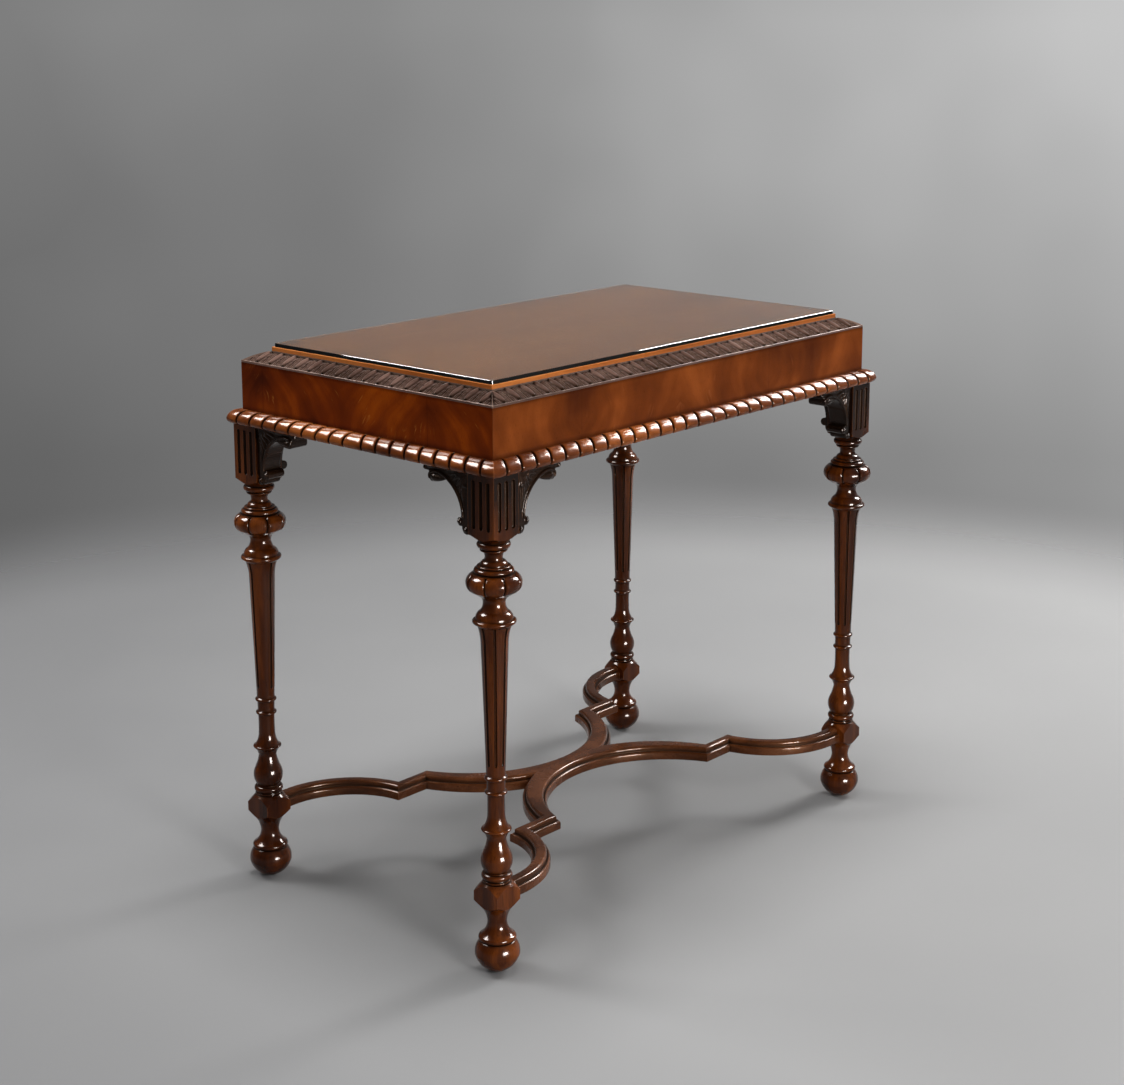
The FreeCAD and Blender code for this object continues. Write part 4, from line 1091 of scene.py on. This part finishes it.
# %% Top veneer
top_finish = polished_mahogany(
    "top_veneer_mahogany", dark=(0.064, 0.018, 0.0025), mid=(0.092, 0.029, 0.004),
    light=(0.124, 0.042, 0.0065), along=(0.16, 1.0, 1.0), hollow=0.0, edge=0.0, gloss=0.40,
    gleam=0.1, coat=0.0, broad=8.0)
finish_node("top_veneer", top_finish)
print("top finished")

# %% [markdown]
# ## The glass
# A loose sheet of plate glass protects the veneer. Its ground and polished arris, the small
# chamfer round both faces, is the line of light that makes a sheet read as glass, so the
# sheet is drawn as four rings of points and the chamfers are real faces.

# %% Glass sheet
ARRIS, CLEARANCE, GLASS_CORNER = 0.35, 0.05, 3.0   # chamfer, gap below, radius of the corners
CORNER_STEPS = 8


def rounded_plan(half_x, half_y, radius):
    """Rectangle with round corners, centred on the table."""
    points = []
    for turn, (side_x, side_y) in enumerate(((1, 1), (-1, 1), (-1, -1), (1, -1))):
        for angle in np.radians(np.linspace(0, 90, CORNER_STEPS + 1)) + turn * math.pi / 2:
            points.append((side_x * (half_x - radius) + radius * math.cos(angle),
                           side_y * (half_y - radius) + radius * math.sin(angle)))
    return np.array(points)


low, high = (np.array(corner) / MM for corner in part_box("glass_top"))
underside = low[2] + CLEARANCE
rings = []
for inset, z in ((ARRIS, underside), (0.0, underside + ARRIS), (0.0, high[2] - ARRIS),
                 (ARRIS, high[2])):
    plan = rounded_plan(high[0] - inset, high[1] - inset, GLASS_CORNER - inset)
    rings.append(np.column_stack([plan, np.full(len(plan), z)]))
glass_points, glass_faces = closed_skin(rings)
print("glass", [round(float(v), 1) for v in high - low], "mm")

# %% [markdown]
# Seen from the side a sheet of glass is nearly black, because light that enters an edge runs
# along inside. Here that is a painted dark colour on the edges, and only the flat faces are
# clear, with the faint streaks that a cloth leaves. Light Path lets the lamps shine straight
# through, so that the wood below stays lit.

# %% Glass finish
plate_glass, tree, surface, position = new_finish("plate_glass")
upward = place(tree, "SeparateXYZ", {0: place(tree, "NewGeometry").outputs["Normal"]})
flatness = ramp(tree, arithmetic(tree, "ABSOLUTE", upward.outputs["Z"]),
                [(0.85, 0.0), (0.95, 1.0)])
wipes = noise(tree, stretched(tree, position, (1.0, 0.5, 1.0)), 9.0, 4.0)
clear = ramp(tree, wipes, [(0.3, (0.93, 0.95, 0.94)), (0.7, (0.97, 0.98, 0.975))])
# the edge faces get a painted dark colour that stands in for light running along inside the
# glass
fill(tree, surface, {
    "Base Color": blend(tree, flatness, (0.004, 0.006, 0.006, 1), clear),
    "Transmission Weight": 1.0, "Roughness": 0.02, "IOR": 1.52})
let_through(tree, surface, place(tree, "LightPath").outputs["Is Shadow Ray"],
            (0.93, 0.95, 0.94, 1))
glass = mesh_piece("glass_sheet", glass_points, glass_faces, plate_glass, body="glass",
                   flat=True)
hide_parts("glass_top")
print("glass placed")

# %% [markdown]
# ## The parts that only show from below
# Turned over, the table shows bare wood: the backs of the rails, the board under the veneer
# and pine glue blocks with steel screws. Beech dowels join the stretcher's two halves. None
# of this wood was ever polished, so it is dry timber with dust and painted shade in the
# corners.

# %% Hidden timber
rails = {run: plain_timber("rail_mahogany_" + run, (0.060, 0.024, 0.012),
                           (0.120, 0.050, 0.025), (0.180, 0.082, 0.042), along, gloss=0.62)
         for run, along in GRAIN_ALONG.items()}
for side, run in RUNS.items():
    ease_edges(finish_node("rail_" + side, rails[run]), 0.4)
board = plain_timber("panel_board", (0.22, 0.13, 0.065), (0.34, 0.215, 0.115),
                     (0.44, 0.30, 0.17), ALONG_X, gloss=0.70, broad=16.0)
pine = plain_timber("glue_block_pine", (0.34, 0.20, 0.085), (0.46, 0.29, 0.13),
                    (0.56, 0.38, 0.19), UPRIGHT, gloss=0.66, broad=20.0)
beech = plain_timber("dowel_beech", (0.38, 0.22, 0.11), (0.50, 0.31, 0.16),
                     (0.58, 0.38, 0.21), ALONG_Y, gloss=0.55, broad=60.0)
finish_node("top_panel", board)
ease_edges(finish_node("glue_blocks", pine), 0.6)
finish_node("stretcher_dowels", beech)
print("hidden timber finished")

# %% [markdown]
# Screws are bright steel that has dulled to grey-brown, more in some patches than others.
# Where rust has formed the surface is no longer metal, so one mask drives both.

# %% Screw steel
steel, tree, surface, position = new_finish("screw_steel")
rust = ramp(tree, noise(tree, position, 420.0, 4.0), [(0.48, 0.0), (0.66, 1.0)])
film = use_group(tree, handled, {"Position": position, "Gloss": 0.42, "Unevenness": 0.5})
fill(tree, surface, {
    "Base Color": blend(tree, rust, (0.42, 0.41, 0.40, 1), (0.16, 0.075, 0.04, 1)),
    "Metallic": minus(tree, 1.0, rust), "Roughness": film["Roughness"]})
finish_node("top_screws", steel)
print("screws finished")

# %% [markdown]
# ## The studio
# The floor is a sheet of pale grey cloth, mottled in broad clouds, with painted light that
# makes it paler towards one side of the room. It stays a plain diffuse surface, so it keeps
# the table's shadow. Towards the horizon the camera sees it fade into the wall behind, like
# paper that is swept up.

# %% Floor
LIGHT_SIDE = (0.65, -0.76, 0.0)         # the floor gets painted light and the wall is paler towards this side
FADE_OUT = 4.0                          # the floor has gone well inside this distance, metres
FLOOR_REACH = 60.0


def paler_side(tree, vector):
    """How far a point or a direction lies towards the paler side of the room."""
    return place(tree, "VectorMath", {0: vector, 1: LIGHT_SIDE},
                 operation="DOT_PRODUCT").outputs["Value"]


cloth, tree, surface, position = new_finish("studio_cloth")
clouds = noise(tree, position, 0.9, 3.0, 0.5)
weave = noise(tree, position, 900.0, 2.0, 0.5)
# painted light: the floor's colour grows paler towards LIGHT_SIDE
tone = weighed(tree, (clouds, 0.35), (weave, 0.05), (paler_side(tree, position), 0.22))
fill(tree, surface, {
    "Base Color": ramp(tree, tone, [(0.0, (0.21, 0.21, 0.212)), (0.45, (0.335, 0.333, 0.330))]),
    "Roughness": 0.9, "Specular IOR Level": 0.15})
distance = place(tree, "VectorMath", {0: position}, operation="LENGTH").outputs["Value"]
swept_up = ramp(tree, arithmetic(tree, "DIVIDE", distance, FADE_OUT),
                [(0.36, 0.0), (0.56, 1.0)], smooth=True)
let_through(tree, surface, times(tree, swept_up,
                                 place(tree, "LightPath").outputs["Is Camera Ray"]))
floor_mesh = bpy.data.meshes.new("studio_floor")
floor_mesh.from_pydata([(x * FLOOR_REACH, y * FLOOR_REACH, 0)
                        for x, y in ((-1, -1), (1, -1), (1, 1), (-1, 1))], [], [(0, 1, 2, 3)])
floor_mesh.materials.append(cloth)
floor = bpy.data.objects.new("studio_floor", floor_mesh)
bpy.context.scene.collection.objects.link(floor)
print("floor laid")

# %% [markdown]
# Four soft lamps light the table: the key straight above it, and others in front, at
# the right and behind at the left. They don't show in the polish. What shows there is three
# windows, which only the gloss sees, so that the highlights can be placed along the lobes
# without changing the light. No lamp is seen by the camera.

# %% Lamps
LAMP_TARGET = (0.0, 0.0, 0.55)
# place in metres, width, height and power
LAMPS = {"key_lamp": ((-0.1, 0.0, 3.2), 1.1, 1.1, 75.0),
         "front_lamp": ((-0.8, -3.2, 2.0), 0.8, 1.2, 50.0),
         "right_lamp": ((3.4, -0.6, 1.9), 1.0, 1.9, 95.0),
         "back_lamp": ((-1.3, 2.4, 3.0), 1.0, 1.2, 48.0)}
WINDOWS = {"front_window": ((-0.6, -3.2, 0.50), 1.2, 0.7, 290.0),
           "right_window": ((2.95, -0.8, 2.35), 0.8, 1.4, 270.0),
           "back_window": ((-1.4, 1.9, 2.8), 1.3, 1.2, 220.0)}


def soft_lamp(name, location, wide, high, power, in_gloss_only):
    """Rectangular lamp that lights the table, or else only shows in its polish."""
    lamp = bpy.data.lights.new(name, "AREA")
    lamp.shape = "RECTANGLE"
    lamp.size, lamp.size_y = wide, high
    lamp.energy = power
    holder = bpy.data.objects.new(name, lamp)
    holder.visible_camera = False
    holder.visible_diffuse = not in_gloss_only
    holder.visible_transmission = False
    holder.visible_glossy = in_gloss_only
    holder.location = location
    holder.rotation_euler = (Vector(LAMP_TARGET) - Vector(location)).to_track_quat(
        "-Z", "Y").to_euler()
    bpy.context.scene.collection.objects.link(holder)


for in_gloss_only, lamps in ((False, LAMPS), (True, WINDOWS)):
    for name, settings in lamps.items():
        soft_lamp(name, *settings, in_gloss_only)
print("lamps hung:", len(LAMPS) + len(WINDOWS))

# %% [markdown]
# The world is an even grey that fills the shadows. The camera, the gloss and the glass see a
# wall instead, which is palest near the horizon and towards one side of the room, so that
# reflections have something soft in them.

# %% World
HORIZON = 0.3                           # where the ramp over height has its horizon
world = bpy.data.worlds.new("studio_world")
bpy.context.scene.world = world
world.use_nodes = True
tree = world.node_tree
tree.nodes.clear()
direction = place(tree, "TexCoord").outputs["Generated"]
folds = noise(tree, direction, 3.5, 3.0, 0.5)
tone = weighed(tree, (folds, 0.5), (paler_side(tree, direction), 0.9))
wall = ramp(tree, tone, [(0.0, 0.21), (0.22, 0.33), (0.5, 0.62)])
height = plus(tree, place(tree, "SeparateXYZ", {0: direction}).outputs["Z"], HORIZON)
lift = ramp(tree, height, [(0.0, 0.50), (0.08, 0.54), (0.28, 1.0), (0.41, 0.85),
                           (0.50, 0.42), (1.0, 0.55)])
wall = blend(tree, 1.0, wall, lift, mode="MULTIPLY")
path = place(tree, "LightPath").outputs
mirrored_or_bent = arithmetic(tree, "MAXIMUM", path["Is Glossy Ray"],
                              path["Is Transmission Ray"])
seen = arithmetic(tree, "MAXIMUM", path["Is Camera Ray"], mirrored_or_bent)
sky = place(tree, "Background", {"Strength": 1.0,
                                 "Color": blend(tree, seen, (0.22, 0.22, 0.225, 1), wall)})
place(tree, "OutputWorld", {"Surface": sky.outputs[0]})
print("world ready")

# %% [markdown]
# ## The camera
# A long lens from a low three-quarter view keeps the uprights nearly parallel. Its direction
# is given as a heading and a downward tilt, and the shift slides the frame sideways and down
# without turning the camera.

# %% Camera
HEADING, TILT, ROLL_ANGLE = math.radians(49.25), math.radians(11.48), math.radians(0.09)
IMAGE_WIDE, IMAGE_HIGH = 1124, 1085
FRAME_CENTRE = (604.4, 399.4)           # where the lens axis meets the frame
forward = Vector((math.sin(HEADING) * math.cos(TILT), math.cos(HEADING) * math.cos(TILT),
                  -math.sin(TILT)))
level = Vector((math.cos(HEADING), -math.sin(HEADING), 0.0))
upright = level.cross(forward)
right = level * math.cos(ROLL_ANGLE) + upright * math.sin(ROLL_ANGLE)
above = upright * math.cos(ROLL_ANGLE) - level * math.sin(ROLL_ANGLE)
lens = bpy.data.cameras.new("camera")
lens.sensor_width = 36.0
lens.lens = 66.08
lens.shift_x = (IMAGE_WIDE / 2 - FRAME_CENTRE[0]) / IMAGE_WIDE
lens.shift_y = -(IMAGE_HIGH / 2 - FRAME_CENTRE[1]) / IMAGE_WIDE
lens.clip_end = 300.0
camera = bpy.data.objects.new("camera", lens)
turned = np.array([right, above, -forward]).T
camera.rotation_euler = Matrix(turned.tolist()).to_euler()
camera.location = (-2.0857, -1.8645, 1.2051)
bpy.context.scene.collection.objects.link(camera)
bpy.context.scene.camera = camera
bpy.context.scene.view_settings.view_transform = "Standard"
print("camera ready, lens", lens.lens, "mm")
